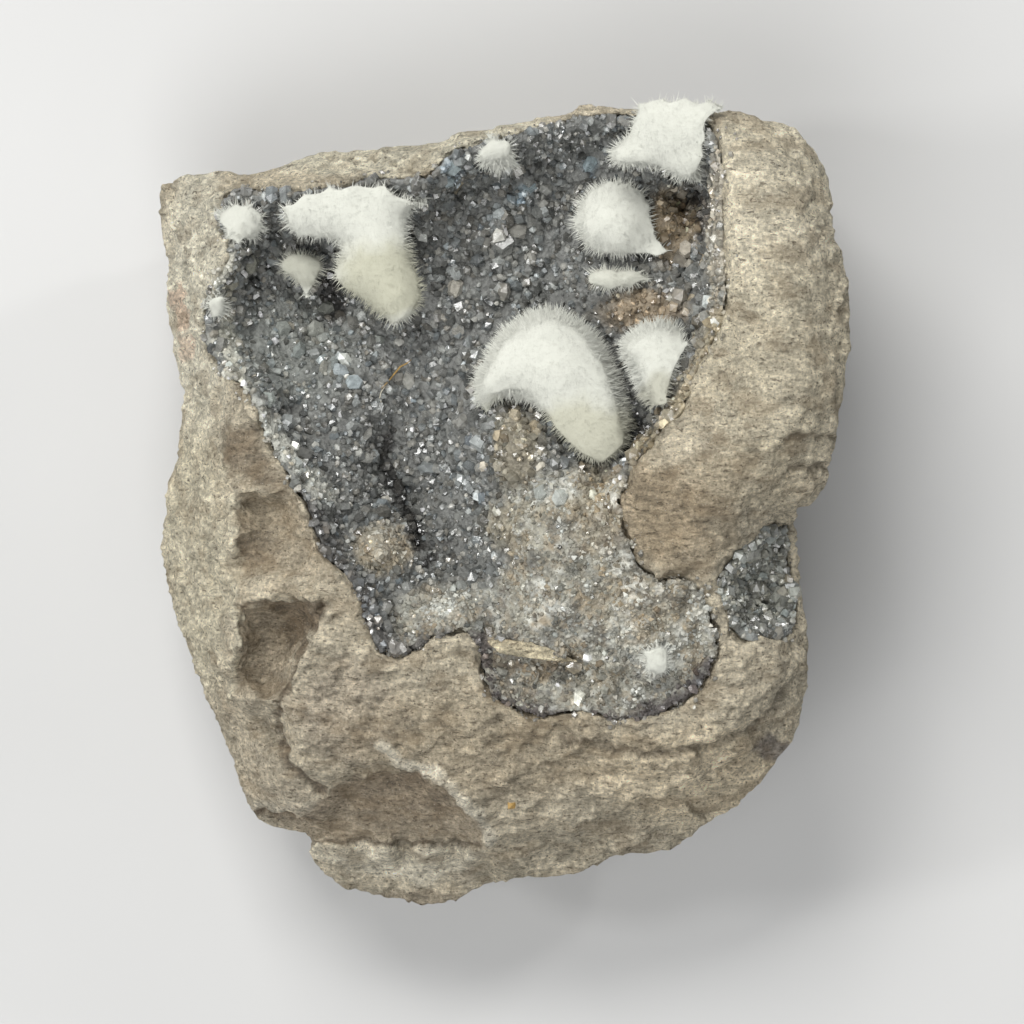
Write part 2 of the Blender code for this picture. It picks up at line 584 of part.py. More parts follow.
def broken_walls(edge):
    """The rings of the rock's sides, moved onto the flat breaks nearest to them."""
    rng = np.random.default_rng(77)
    rings = wall_rings(edge)
    outward = outward_ways(edge[:, :2])
    everything = np.vstack(rings)
    ways = np.vstack([outward] * len(rings))
    centres = []
    normals = []
    for index in rng.permutation(len(everything)):
        place = everything[index]
        if all(np.linalg.norm(place - other) > BREAK_SPACING for other in centres):
            centres.append(place)
            tilt = rng.uniform(-BREAK_TILT, BREAK_TILT, 3)
            normals.append(unit(np.array([*ways[index], 0.0]) + tilt))
    centres = np.array(centres)
    normals = np.array(normals)
    steps = rng.uniform(-BREAK_STEP, BREAK_STEP, len(centres))
    broken = []
    for level, ring in zip(WALL_LEVELS[1:], rings):
        bends = [bumps(ring, 4.0, seed) for seed in (31.0, 37.0, 43.0)]
        warped = ring + BREAK_BEND * np.column_stack(bends)
        nearest = np.linalg.norm(warped[:, None, :] - centres[None, :, :], axis=2).argmin(axis=1)
        behind = np.einsum("ij,ij->i", centres[nearest] - ring, normals[nearest])
        facing = np.einsum("ij,ij->i", outward, normals[nearest][:, :2])
        shift = np.clip(behind / facing + steps[nearest], -BREAK_LIMIT, BREAK_LIMIT)
        shift = shift * min(1.0, 4.0 * level) + ROCK_LUMP * bumps(ring, 2.6, 50.0)
        plan = ring[:, :2] + outward * shift[:, None]
        for _ in range(3):
            outside = np.clip(EDGE_COVER - depth_inside(plan, edge[:, :2]), 0.0, None)
            plan = plan - outward * outside[:, None]
        broken.append(lifted(plan, ring[:, 2]))
    return broken


def solid(name, points, faces, mineral):
    """One closed body of a mineral as a Blender object, from millimetres."""
    mesh = bpy.data.meshes.new(name)
    mesh.from_pydata([tuple(float(value) * METRE for value in point) for point in points], [], faces)
    mesh.validate()
    mesh.update()
    made = bpy.data.objects.new(name, mesh)
    made.data.materials.append(material(name, *mineral))
    bpy.context.scene.collection.objects.link(made)
    return made


def material(name, colour, roughness):
    made = bpy.data.materials.new(name)
    made.use_nodes = True
    shader = made.node_tree.nodes["Principled BSDF"]
    shader.inputs["Base Color"].default_value = (*colour, 1.0)
    shader.inputs["Roughness"].default_value = roughness
    shader.inputs["Metallic"].default_value = 0.0
    return made


def make_rock(sheet):
    """The rock: its display face, its broken sides and its flat base, as one closed body."""
    points, faces, edge_numbers, _ = sheet
    edge = points[edge_numbers]
    rings = broken_walls(edge)
    points = list(points)
    faces = list(faces)
    count = len(edge_numbers)
    upper = list(edge_numbers)
    for ring in rings:
        lower = list(range(len(points), len(points) + count))
        points += list(ring)
        for i in range(count):
            after = (i + 1) % count
            faces.append((upper[i], upper[after], lower[after]))
            faces.append((upper[i], lower[after], lower[i]))
        upper = lower
    faces.append(tuple(upper))
    return solid("matrix_rock", points, faces, LIMESTONE)


def make_crust(crust, sheet, edge_loop):
    """A crust: its crystal face, and a back that follows the rock under it at a small gap."""
    top_points, top_faces, top_edge = crust["top"]
    rock_points, rock_faces, _, _ = sheet
    edge_set = inset(densified(crust["loop"], HOLLOW_STEP), CRUST_INSET)
    middle_of = np.array([rock_points[list(face), :2].mean(axis=0) for face in rock_faces])
    covered = inside(middle_of, edge_set)
    back_faces = [face for face, under in zip(rock_faces, covered) if under]
    used = sorted({number for face in back_faces for number in face})
    new_number = {old: len(top_points) + i for i, old in enumerate(used)}
    back_points = [rock_points[number] + np.array([0.0, 0.0, GAP]) for number in used]
    faces = list(top_faces)
    faces += [tuple(new_number[number] for number in reversed(face)) for face in back_faces]
    count = len(top_edge)
    for i in range(count):
        after = (i + 1) % count
        faces.append((top_edge[i], top_edge[after], new_number[edge_loop[after]]))
        faces.append((top_edge[i], new_number[edge_loop[after]], new_number[edge_loop[i]]))
    solid(crust["name"], list(top_points) + back_points, faces, QUARTZ)


def ground_height(trees, place, reach):
    """Highest ground under a place and round it, or just beside it where it stands out past the edge."""
    turns = np.linspace(0.0, math.tau, 9)[1:]
    ways = [(0.0, 0.0)] + [(math.cos(turn), math.sin(turn)) for turn in turns]
    for distance in (reach, 3.0 * reach):
        found = [
            surface_under(tree, place[0] + distance * x, place[1] + distance * y)
            for tree in trees for x, y in ways
        ]
        found = [height for height in found if height is not None]
        if found:
            return max(found)
    return 0.0


def fan_outline(outline, level, others, seed, ground):
    """A spray's outline, every other corner drawn out to a needle point, clear of what stands beside it."""
    rng = np.random.default_rng(seed)
    loop = densified(outline, NEEDLE_STEP)
    along = np.roll(loop, -1, axis=0) - np.roll(loop, 1, axis=0)
    outward = unit(np.column_stack([-along[:, 1], along[:, 0]]))
    points_out = np.where(np.arange(len(loop)) % 2 == 0, rng.uniform(0.5, 1.0, len(loop)), -0.2)
    loop = loop + outward * (NEEDLE_RELIEF * points_out)[:, None]
    for other in others:
        for _ in range(8):
            near = depth_inside(loop, other) > -1.2 * GAP
            loop[near] -= 0.1 * outward[near]
    for _ in range(9):
        walled = [ground_height(ground, point, CLEAR_REACH) > level + WALL_CLIMB for point in loop]
        loop[walled] -= 0.12 * outward[walled]
    return thinned(loop, 0.3)


def dome(depth, radius, tall):
    """Height of a rounded edge at a depth inside its outline."""
    return tall * np.sqrt(1.0 - (1.0 - np.clip(depth / radius, 0.0, 1.0)) ** 2)


def spray_top(smooth_edge, loop, radius, tall, level, seed, ground):
    """A spray's upper side: points, faces and edge loop, with a needle point on every triangle."""
    rings = [inset(smooth_edge, radius * share * share) for share in SPRAY_RINGS]
    rings = [densified(ring, SPRAY_SPACING) for ring in rings if len(ring) > 3]
    middle = scattered(SPRAY_SPACING, seed + 1)
    middle = middle[depth_inside(middle, smooth_edge) > 0.85 * radius]
    if len(middle) == 0:
        middle = smooth_edge.mean(axis=0)[None, :]
    loose = thinned(far_enough(rings[0], loop, 0.25), 0.4)
    for ring in rings[1:] + [middle]:
        kept = far_enough(ring, np.vstack([loose, loop]), 0.55)
        loose = thinned(np.vstack([loose, kept]), 0.4)
    points, faces, loops = triangulated([loop], loose)
    floor = np.array([ground_height(ground, point, CLEAR_REACH) for point in points])
    rim = np.zeros(len(points), dtype=bool)
    rim[loops[0]] = True
    depth = np.where(rim, 0.0, depth_inside(points, smooth_edge))
    swell = dome(depth, radius, tall)
    heights = np.maximum(level + swell, floor + 2.0 * GAP + 0.35 * swell)
    heights += np.where(rim, 0.0, SPRAY_LUMP * bumps(points, 2.6, 70.0))
    top = list(lifted(points, heights))
    sides = []
    rng = np.random.default_rng(seed + 3)
    for face in faces:
        corners = np.array([top[number] for number in face])
        out = unit(np.cross(corners[1] - corners[0], corners[2] - corners[0]))
        out[:2] *= 0.4 if rim[list(face)].any() else 1.0
        top.append(corners.mean(axis=0) + out * NEEDLE_RELIEF * rng.uniform(0.6, 1.2))
        tip = len(top) - 1
        sides += [(face[i], face[(i + 1) % 3], tip) for i in range(3)]
    return top, sides, loops[0]


def spray_underside(smooth_edge, loop, radius, tall, level, seed, ground):
    """A spray's lower side, clear of the ground: points, faces and edge loop."""
    below = scattered(UNDERSIDE_SPACING, seed + 2)
    below = below[depth_inside(below, smooth_edge) > 1.0]
    points, faces, loops = triangulated([loop], far_enough(below, loop, 0.8))
    floor = np.array([ground_height(ground, point, 2.0 * CLEAR_REACH) for point in points])
    sag = dome(depth_inside(points, smooth_edge), radius, 0.8 * tall)
    return lifted(points, np.maximum(floor + GAP, level - sag)), faces, loops[0]


def make_spray(name, shape, others, seed, ground):
    """A spray: a dome of needle points over its outline, on an underside that follows the ground."""
    outline, radius, tall, level = shape
    smooth_edge = face_points(outline)
    loop = fan_outline(smooth_edge, level, others, seed, ground)
    points, faces, upper = spray_top(smooth_edge, loop, radius, tall, level, seed, ground)
    below, below_faces, below_edge = spray_underside(
        smooth_edge, loop, radius, tall, level, seed, ground)
    first = len(points)
    for above, under in zip(upper, below_edge):
        below[under, 2] = points[above][2] - RIM_THICKNESS
    points += list(below)
    faces += [tuple(first + number for number in reversed(face)) for face in below_faces]
    lower = [first + number for number in below_edge]
    for i in range(len(loop)):
        after = (i + 1) % len(loop)
        faces += [(upper[i], upper[after], lower[after]), (upper[i], lower[after], lower[i])]
    used = sorted({corner for face in faces for corner in face})
    new_number = {old: new for new, old in enumerate(used)}
    faces = [tuple(new_number[corner] for corner in face) for face in faces]
    solid(name, [points[old] for old in used], faces, STRONTIANITE)
    return loop


def centre_on_base():
    """Move everything so that the origin is under the middle of the specimen's box."""
    corners = np.array([vertex.co for made in bpy.data.objects for vertex in made.data.vertices])
    middle = (corners.min(axis=0) + corners.max(axis=0)) / 2
    for made in bpy.data.objects:
        for vertex in made.data.vertices:
            vertex.co.x -= middle[0]
            vertex.co.y -= middle[1]


def build():
    for old in list(bpy.data.objects):
        bpy.data.objects.remove(old, do_unlink=True)
    crusts = [
        {"name": "vug_quartz_crust", "loop": face_points(VUG_OUTLINE), "floor": vug_heights},
        {"name": "side_pocket_quartz_crust", "loop": face_points(POCKET_OUTLINE),
         "floor": pocket_heights},
    ]
    for number, crust in enumerate(crusts):
        crust["top"] = crust_top(crust["loop"], crust["floor"], 100 * (number + 1))
        crust["tree"] = surface_tree(crust["top"][0], crust["top"][1])
    sheet = rock_sheet(crusts)
    make_rock(sheet)
    for crust, edge_loop in zip(crusts, sheet[3]):
        make_crust(crust, sheet, edge_loop)
    ground = [surface_tree(sheet[0], sheet[1])] + [crust["tree"] for crust in crusts]
    outlines = []
    for number, (name, shape) in enumerate(SPRAYS.items()):
        outlines.append(make_spray(name, shape, outlines, 1000 + 20 * number, ground))
    centre_on_base()


build()
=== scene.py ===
"""The looks of a strontianite specimen: white needle balls on grey quartz druse in tan limestone.

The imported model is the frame. Its rock and its quartz crusts are copied, refined and broken up into
fine relief, small quartz crystals cover the crusts, and the strontianite balls get their needles.
Lengths are millimetres, and only mesh_piece() turns them into metres. A place on the display face
can be given as a pixel (column, row) of the photograph, which face_point() turns into millimetres.
"""
import math

import bpy
import numpy as np
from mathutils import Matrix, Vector
from mathutils.bvhtree import BVHTree


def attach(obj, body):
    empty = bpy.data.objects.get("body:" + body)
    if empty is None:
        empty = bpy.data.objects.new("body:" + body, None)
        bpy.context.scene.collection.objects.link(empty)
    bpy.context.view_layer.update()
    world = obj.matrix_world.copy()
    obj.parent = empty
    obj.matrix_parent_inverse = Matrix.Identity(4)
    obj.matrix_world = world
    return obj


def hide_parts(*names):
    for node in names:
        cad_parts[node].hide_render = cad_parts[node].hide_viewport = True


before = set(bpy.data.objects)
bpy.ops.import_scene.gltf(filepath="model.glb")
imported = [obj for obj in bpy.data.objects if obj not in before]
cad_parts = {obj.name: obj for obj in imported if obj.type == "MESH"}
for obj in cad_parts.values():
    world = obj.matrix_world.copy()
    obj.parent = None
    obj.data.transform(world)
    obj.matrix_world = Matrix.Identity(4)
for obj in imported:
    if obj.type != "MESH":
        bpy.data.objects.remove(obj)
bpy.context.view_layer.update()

METRE = 0.001

# The photograph's frame: size, and where the specimen's middle is in it
FRAME_PX = 1024
MIDDLE_PX = (502.5, 503.0)
PIXEL = 46.0 / 695.0
MIDDLE_SHIFT = (0.0, -0.117)

# Camera: a long lens straight above the display face
LENS = 500.0
SENSOR = 36.0
FACE_HEIGHT = 19.0

# Fineness of the meshes: longest edges of the rock's face and sides, the crusts, and hidden faces
FACE_EDGE = 0.33
SIDE_EDGE = 0.70
CRUST_EDGE = 0.39
HIDDEN_EDGE = 4.0
# Below BASE_LEVEL the rock is its flat base, and above SIDE_TOP its display face gets fine edges
BASE_LEVEL = 0.01
SIDE_TOP = 1.5
# A crust this near above the rock hides it
COVER_REACH = 2.5
# How far from a crust its small crystals still stand on the rock
RIM_REACH = 0.55
# Where that edge is widest: middle and half size in pixels
RIM_BAND = ((722, 225), (36, 125))
# Relief shades the rock and the crusts, so their colours are lifted by this much
ROCK_LIFT = 1.58
CRUST_LIFT = 1.06
# No channel of a rock colour goes above this
BRIGHTEST = 0.86
# A ray that looks for something above a place starts a little over it, and goes this far
UP = (0.0, 0.0, 1.0)
RAY_START = (0.0, 0.0, 0.05)
ROCK_RAY = 40.0
CRUST_RAY = 3.0
# How many crystals and grains are scattered, before they are thinned by place
VUG_CRYSTALS = 9600
VUG_GRAINS = 24000
POCKET_CRYSTALS = 900
RIM_CRYSTALS = 2100
# Points of one crystal, one grain and one needle
CRYSTAL_POINTS = 13
GRAIN_POINTS = 6
NEEDLE_POINTS = 4


def face_point(pixel):
    """Millimetres on the display face of one pixel of the photograph."""
    return np.array([
        (pixel[0] - MIDDLE_PX[0]) * PIXEL + MIDDLE_SHIFT[0],
        (MIDDLE_PX[1] - pixel[1]) * PIXEL + MIDDLE_SHIFT[1],
    ])


def face_points(pixels):
    return np.array([face_point(pixel) for pixel in pixels])


def unit(vectors):
    length = np.linalg.norm(vectors, axis=-1, keepdims=True)
    return vectors / np.maximum(length, 1e-12)


def smooth_step(value):
    clipped = np.clip(value, 0.0, 1.0)
    return clipped * clipped * (3.0 - 2.0 * clipped)


def linear(colour):
    """A screen colour (0 to 255) as linear light."""
    value = np.asarray(colour, dtype=float) / 255.0
    return np.where(value <= 0.04045, value / 12.92, ((value + 0.055) / 1.055) ** 2.4)


def limited(tints):
    """The colours, with each too bright one darkened without changing its hue."""
    return tints * np.minimum(1.0, BRIGHTEST / tints.max(axis=1))[:, None]


# Noise

def hashed(cells, seed):
    """Random whole numbers, the same each run, for whole-number cells."""
    mask = 0xFFFFFFFF
    mixed = cells[..., 0] * 374761393 + cells[..., 1] * 668265263 + cells[..., 2] * 1440662683
    mixed = (mixed + seed * 1013904223) & mask
    mixed = ((mixed ^ (mixed >> 13)) * 1274126177) & mask
    mixed = ((mixed ^ (mixed >> 15)) * 2246822519) & mask
    return (mixed ^ (mixed >> 16)) & mask


def random_directions(count, seed):
    rng = np.random.default_rng(seed)
    return unit(rng.normal(size=(count, 3)))


DIRECTIONS = random_directions(1024, 5)


def noise(points, size, seed):
    """Soft noise between about -1 and 1. size is one number or three, in millimetres."""
    scaled = points / np.asarray(size, dtype=float)
    low = np.floor(scaled).astype(np.int64)
    part = scaled - low
    ease = part * part * part * (part * (part * 6.0 - 15.0) + 10.0)
    total = np.zeros(len(points))
    for corner in np.ndindex(2, 2, 2):
        corner = np.array(corner)
        slope = DIRECTIONS[hashed(low + corner, seed) % len(DIRECTIONS)]
        share = np.prod(np.where(corner == 1, ease, 1.0 - ease), axis=1)
        total += share * np.einsum("ij,ij->i", slope, part - corner)
    return 1.6 * total


def rough_noise(points, size, octaves, seed):
    """Noise on noise, each layer half the size and strength of the one before."""
    total = np.zeros(len(points))
    for layer in range(octaves):
        total += noise(points, np.asarray(size, dtype=float) / 2 ** layer, seed + layer) / 2 ** layer
    return total


def nearest_cells(scaled, seed):
    """The uneven cell that each point lies in, and the way to the point from the cell's middle."""
    low = np.floor(scaled).astype(np.int64)
    nearest = np.full(len(scaled), 1e9)
    cells = np.zeros_like(low)
    ways = np.zeros_like(scaled)
    for offset in np.ndindex(3, 3, 3):
        cell = low + np.array(offset) - 1
        number = hashed(cell, seed)
        jitter = np.stack([(number >> shift & 255) / 255.0 for shift in (0, 8, 16)], axis=1)
        away = scaled - cell - jitter
        distance = np.einsum("ij,ij->i", away, away)
        closer = distance < nearest
        nearest = np.where(closer, distance, nearest)
        cells[closer] = cell[closer]
        ways[closer] = away[closer]
    return cells, ways


def broken_noise(points, size, seed):
    """Flat tilted facets with steps between them, as on broken rock, between about -1 and 1."""
    cells, ways = nearest_cells(points / np.asarray(size, dtype=float), seed)
    tilt = DIRECTIONS[hashed(cells, seed + 1) % len(DIRECTIONS)]
    level = (hashed(cells, seed + 2) & 255) / 255.0 - 0.5
    return level + np.einsum("ij,ij->i", tilt, ways)


# Meshes as arrays of points and triangles

def triangles_of(node):
    """A frame node's mesh as points in millimetres and triangles, its doubled points merged."""
    mesh = node.data
    mesh.calc_loop_triangles()
    points = np.empty(len(mesh.vertices) * 3)
    mesh.vertices.foreach_get("co", points)
    points = points.reshape(-1, 3) / METRE
    faces = np.empty(len(mesh.loop_triangles) * 3, dtype=np.int64)
    mesh.loop_triangles.foreach_get("vertices", faces)
    _, first, number = np.unique(
        np.round(points, 3), axis=0, return_index=True, return_inverse=True)
    faces = number.reshape(-1)[faces].reshape(-1, 3)
    return points[first], faces


def edges_of(faces):
    """The mesh's edges, and for each triangle the numbers of its three edges."""
    pairs = np.sort(faces[:, [[0, 1], [1, 2], [2, 0]]].reshape(-1, 2), axis=1)
    size = pairs.max() + 1
    keys, number = np.unique(pairs[:, 0] * size + pairs[:, 1], return_inverse=True)
    return np.stack([keys // size, keys % size], axis=1), number.reshape(-1, 3)


def refined(points, faces, longest):
    """Split every edge that is longer than longest() of its middle, until none is left."""
    for _ in range(12):
        edges, of_face = edges_of(faces)
        ends = points[edges]
        middle = ends.mean(axis=1)
        long = np.linalg.norm(ends[:, 0] - ends[:, 1], axis=1) > longest(middle)
        if not long.any():
            break
        new_number = np.where(long, len(points) + np.cumsum(long) - 1, -1)
        points = np.vstack([points, middle[long]])
        halves = new_number[of_face]
        pieces = []
        for turn in range(3):
            a, b, c = (np.roll(faces, -turn, axis=1)[:, k] for k in range(3))
            ab, bc, ca = (np.roll(halves, -turn, axis=1)[:, k] for k in range(3))
            one = (ab >= 0) & (bc < 0) & (ca < 0)
            two = (ab >= 0) & (bc >= 0) & (ca < 0)
            pieces += [np.stack(x, axis=1) for x in (
                (a[one], ab[one], c[one]), (ab[one], b[one], c[one]),
                (ab[two], b[two], bc[two]), (a[two], ab[two], c[two]), (ab[two], bc[two], c[two]))]
        none = (halves < 0).all(axis=1)
        every = (halves >= 0).all(axis=1)
        a, b, c = faces[every].T
        ab, bc, ca = halves[every].T
        pieces += [faces[none]] + [np.stack(x, axis=1) for x in (
            (a, ab, ca), (ab, b, bc), (ca, bc, c), (ab, bc, ca))]
        faces = np.vstack(pieces)
    return points, faces


def smoothed(points, faces, rounds, amount):
    """Draw each point towards the mean of its neighbours, by its own amount each round."""
    edges, _ = edges_of(faces)
    both = np.vstack([edges, edges[:, ::-1]])
    count = np.bincount(both[:, 0], minlength=len(points))
    for _ in range(rounds):
        mean = np.stack([
            np.bincount(both[:, 0], weights=points[both[:, 1], axis], minlength=len(points)) / count
            for axis in range(3)], axis=1)
        points = points + (mean - points) * amount[:, None]
    return points


def normals_of(points, faces):
    corners = points[faces]
    across = np.cross(corners[:, 1] - corners[:, 0], corners[:, 2] - corners[:, 0])
    total = np.stack([
        np.bincount(faces.ravel(), weights=np.repeat(across[:, axis], 3), minlength=len(points))
        for axis in range(3)], axis=1)
    return unit(total)


def evened(points, faces, size):
    """The same closed shape with small faces of an even size."""
    mesh = bpy.data.meshes.new("even")
    mesh.from_pydata(points.tolist(), [], faces.tolist())
    piece = bpy.data.objects.new("even", mesh)
    bpy.context.scene.collection.objects.link(piece)
    change = piece.modifiers.new("even", "REMESH")
    change.mode = "VOXEL"
    change.voxel_size = size
    made = piece.evaluated_get(bpy.context.evaluated_depsgraph_get()).to_mesh()
    made.calc_loop_triangles()
    points = np.array([point.co for point in made.vertices])
    faces = np.array([triangle.vertices for triangle in made.loop_triangles])
    bpy.data.objects.remove(piece)
    bpy.data.meshes.remove(mesh)
    return points, faces


def tree_of(points, faces):
    return BVHTree.FromPolygons(points.tolist(), faces.tolist())


def ray_hits(tree, points, direction, reach):
    """Whether each point has the tree's surface ahead of it within a reach."""
    direction = Vector(direction)
    return np.array([tree.ray_cast(Vector(point), direction, reach)[0] is not None for point in points])


def mesh_piece(name, points, faces, material, smooth, tints=None, normals=None):
    """A mesh object in the frame, from millimetres, which rides on the specimen's one body."""
    mesh = bpy.data.meshes.new(name)
    mesh.vertices.add(len(points))
    mesh.vertices.foreach_set("co", (points * METRE).astype(np.float32).ravel())
    mesh.loops.add(faces.size)
    mesh.loops.foreach_set("vertex_index", faces.astype(np.int32).ravel())
    mesh.polygons.add(len(faces))
    mesh.polygons.foreach_set("loop_start", np.arange(0, faces.size, faces.shape[1], dtype=np.int32))
    mesh.polygons.foreach_set("use_smooth", np.full(len(faces), smooth))
    mesh.update(calc_edges=True)
    if normals is not None:
        mesh.normals_split_custom_set_from_vertices(normals.tolist())
    if tints is not None:
        layer = mesh.color_attributes.new("tint", "FLOAT_COLOR", "POINT")
        filled = np.ones((len(points), 4), dtype=np.float32)
        filled[:, :3] = tints
        layer.data.foreach_set("color", filled.ravel())
    mesh.materials.append(material)
    piece = bpy.data.objects.new(name, mesh)
    bpy.context.scene.collection.objects.link(piece)
    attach(piece, "root")
    return piece


# Colours by place

# The rock's ground colour, and patches of its face: middle and half size in pixels, screen colour,
# strength. The top strip, the left side and the right plate's top are painted lighter where they face the
# light: painted light
ROCK_COLOUR = (176, 167, 147)
ROCK_PATCHES = [
    ((430, 148), (200, 30), (224, 218, 196), 0.9),   # top strip, painted lighter where it faces the light
    ((196, 290), (36, 150), (212, 207, 188), 0.85),    # left side, painted lighter where it faces the light
    # lower left side, painted lighter where it faces the light
    ((192, 560), (40, 150), (190, 183, 161), 0.75),
    ((178, 306), (8, 24), (196, 168, 146), 0.6),      # pinkish stains
    ((186, 345), (7, 14), (190, 164, 144), 0.5),
    ((346, 712), (56, 50), (158, 147, 130), 0.6),     # granular lump
    ((420, 902), (80, 8), (132, 121, 104), 0.6),
    ((480, 745), (150, 60), (144, 132, 111), 0.6),
    ((700, 775), (115, 52), (200, 187, 161), 0.75),
    ((785, 205), (85, 110), (206, 198, 176), 0.75),    # right plate, painted lighter at its top where it faces the light
    ((775, 360), (85, 110), (176, 168, 147), 0.7),
    ((650, 515), (62, 52), (142, 128, 106), 0.75),
    ((752, 475), (60, 36), (162, 152, 130), 0.5),
    ((772, 748), (20, 13), (92, 88, 88), 0.75),
]

# Broken faces of the rock: outline, screen colour, strength, depth in millimetres (below 0 the face stands
# out), and the direction in pixels of its deep side, where its colour is strongest. The dark colour of the
# scoops and of the recessed face is painted shade
ROCK_FACETS = [
    ([(223, 429), (262, 426), (267, 457), (306, 495), (297, 504), (269, 495), (244, 479), (220, 461)],
     (100, 88, 72), 0.85, 0.20, (-1, 0)),              # brown lump
    ([(247, 495), (269, 498), (297, 504), (325, 557), (333, 576), (240, 578), (233, 560), (236, 539)],
     (142, 129, 108), 0.8, 0.36, (-1, -1)),            # upper scoop, darker with painted shade under the brown lump
    ([(237, 541), (262, 532), (280, 548), (272, 563), (238, 566)], (104, 92, 75), 0.7, 0.15, (-1, 0)),
    ([(234, 578), (335, 578), (326, 603), (241, 606)], (184, 174, 152), 0.7, -0.15, (0, 1)),
    ([(241, 607), (325, 607), (306, 632), (288, 657), (284, 686), (275, 701), (230, 695), (236, 639)],
     (136, 122, 102), 0.8, 0.50, (1, -1)),             # lower scoop, darker with painted shade under its top edge
    # painted shadow at the lower scoop's right tip
    ([(262, 606), (328, 605), (306, 634), (290, 650), (286, 622)], (100, 86, 69), 0.7, 0.20, (1, -1)),
    ([(220, 707), (253, 701), (275, 720), (280, 751), (300, 773), (319, 789), (303, 806), (244, 795)],
     (156, 146, 128), 0.6, -0.15, (0, 1)),             # lower left block
    ([(244, 795), (303, 806), (316, 801), (304, 818), (250, 810)],
     (194, 186, 168), 0.85, -0.25, (0, 1)),
    ([(250, 812), (303, 819), (316, 802), (350, 781), (419, 772), (487, 828), (481, 845), (306, 845)],
     (130, 115, 96), 0.8, 0.35, (0, -1)),              # recessed face, dark with painted shade where it faces away from the light
    ([(308, 847), (472, 850), (486, 857), (466, 870), (441, 882), (422, 886), (325, 864), (306, 857)],
     (236, 228, 206), 0.95, -0.20, (0, 1)),            # tab at the foot, pale beige top made paler with painted light
    ([(455, 868), (474, 862), (482, 872), (468, 888), (452, 884)], (134, 128, 116), 0.6, 0.0, (0, 1)),
    ([(640, 470), (700, 452), (742, 470), (736, 540), (700, 570), (660, 574), (640, 540), (622, 500)],
     (146, 131, 107), 0.5, 0.0, (0, 1)),               # brown tail of the right plate
]

# The crusts' ground colour, the pale crust's and how strong it is, and patches as on the rock
CRUST_COLOUR = (104, 105, 102)
PALE_COLOUR = (136, 134, 124)
PALE_SHARE = 0.85
CRUST_PATCHES = [
    ((290, 350), (70, 55), (128, 131, 126), 0.5),
    ((672, 226), (28, 38), (146, 130, 105), 0.8),     # tan mounds
    ((645, 310), (46, 22), (146, 131, 109), 0.8),
    ((720, 245), (13, 120), (170, 163, 147), 0.75),   # band under the right rim
    ((716, 108), (16, 12), (196, 196, 188), 0.8),
    ((517, 446), (28, 42), (126, 119, 102), 0.8),     # knob
    ((384, 549), (30, 25), (182, 171, 150), 0.9),     # granular nodule
    ((600, 512), (36, 46), (158, 145, 120), 0.8),
    ((520, 525), (38, 26), (150, 142, 122), 0.6),
    ((640, 600), (60, 40), (160, 150, 128), 0.5),
    ((557, 492), (20, 13), (204, 206, 200), 0.85),    # white patches
    ((436, 608), (36, 14), (190, 192, 184), 0.7),
    ((555, 607), (17, 9), (210, 212, 206), 0.85),
    ((480, 600), (16, 12), (184, 186, 178), 0.6),
    ((625, 640), (16, 20), (184, 186, 178), 0.7),
    ((655, 660), (24, 20), (200, 202, 196), 0.7),
    ((700, 600), (14, 26), (176, 174, 162), 0.6),
    ((535, 668), (42, 6), (92, 82, 70), 0.7),         # shade under the beige shard
    ((452, 170), (10, 14), (176, 186, 190), 0.7),     # bluish crystals
    ((590, 165), (9, 9), (164, 176, 182), 0.7),
    ((522, 195), (7, 7), (164, 178, 184), 0.7),
    ((332, 295), (14, 32), (44, 42, 40), 0.85),       # deep gaps, dark with painted shade
    ((703, 215), (7, 32), (62, 58, 54), 0.8),
    ((641, 440), (17, 30), (28, 26, 24), 0.9),
    ((440, 545), (8, 7), (44, 42, 40), 0.8),
    ((430, 560), (7, 6), (44, 42, 40), 0.8),
    ((760, 575), (50, 62), (122, 122, 112), 0.6),     # side pocket
]
# Lines on the crusts: corners, half width in millimetres, screen colour, strength. The dark seam at the
# crust's foot and the dark crack are painted shade in their grooves
CRUST_LINES = [
    # dark seam along the crust's foot: painted shade in the groove
    ([(480, 640), (480, 692), (520, 714), (560, 720), (620, 720), (680, 702), (712, 662)],
     0.6, (62, 57, 57), 0.88),
    ([(300, 492), (330, 550), (352, 590), (372, 632), (402, 655), (440, 640)],
     0.8, (78, 76, 74), 0.75),
    ([(235, 382), (262, 420), (285, 455), (322, 494)], 0.7, (196, 196, 186), 0.8),
    ([(232, 235), (220, 290), (226, 340), (238, 380)], 0.6, (190, 188, 174), 0.7),
    # dark crack: painted shade in the crack
    ([(385, 436), (384, 460), (396, 492), (412, 522), (416, 545)], 0.5, (36, 34, 32), 0.85),
    ([(722, 330), (706, 372), (690, 405), (676, 432), (652, 466)], 1.3, (160, 148, 122), 0.85),
]

# Scabs of the pale crust: screen colour, and how often it comes
SCAB_COLOURS = [
    ((138, 135, 122), 3), ((164, 163, 151), 2), ((212, 214, 207), 1), ((144, 128, 102), 2),
    ((104, 92, 75), 1), ((98, 100, 96), 2), ((60, 56, 53), 2),
]
# Two layers of scabs: size in millimetres, share and seed, and the strength of both together
SCAB_LAYERS = [(1.4, 0.55, 31), (0.45, 0.45, 37)]
SCAB_STRENGTH = 0.62


def scab_colours(points, size, seed):
    """A random one of the pale crust's colours for each small uneven cell of it."""
    palette = np.array([linear(colour) for colour, often in SCAB_COLOURS for _ in range(often)])
    wander = np.stack([rough_noise(points, 0.6 * size, 2, seed + 10 * axis) for axis in range(3)], axis=1)
    cells = nearest_cells((points + 0.45 * size * wander) / size, seed)[0]
    return palette[hashed(cells, seed + 3) % len(palette)]


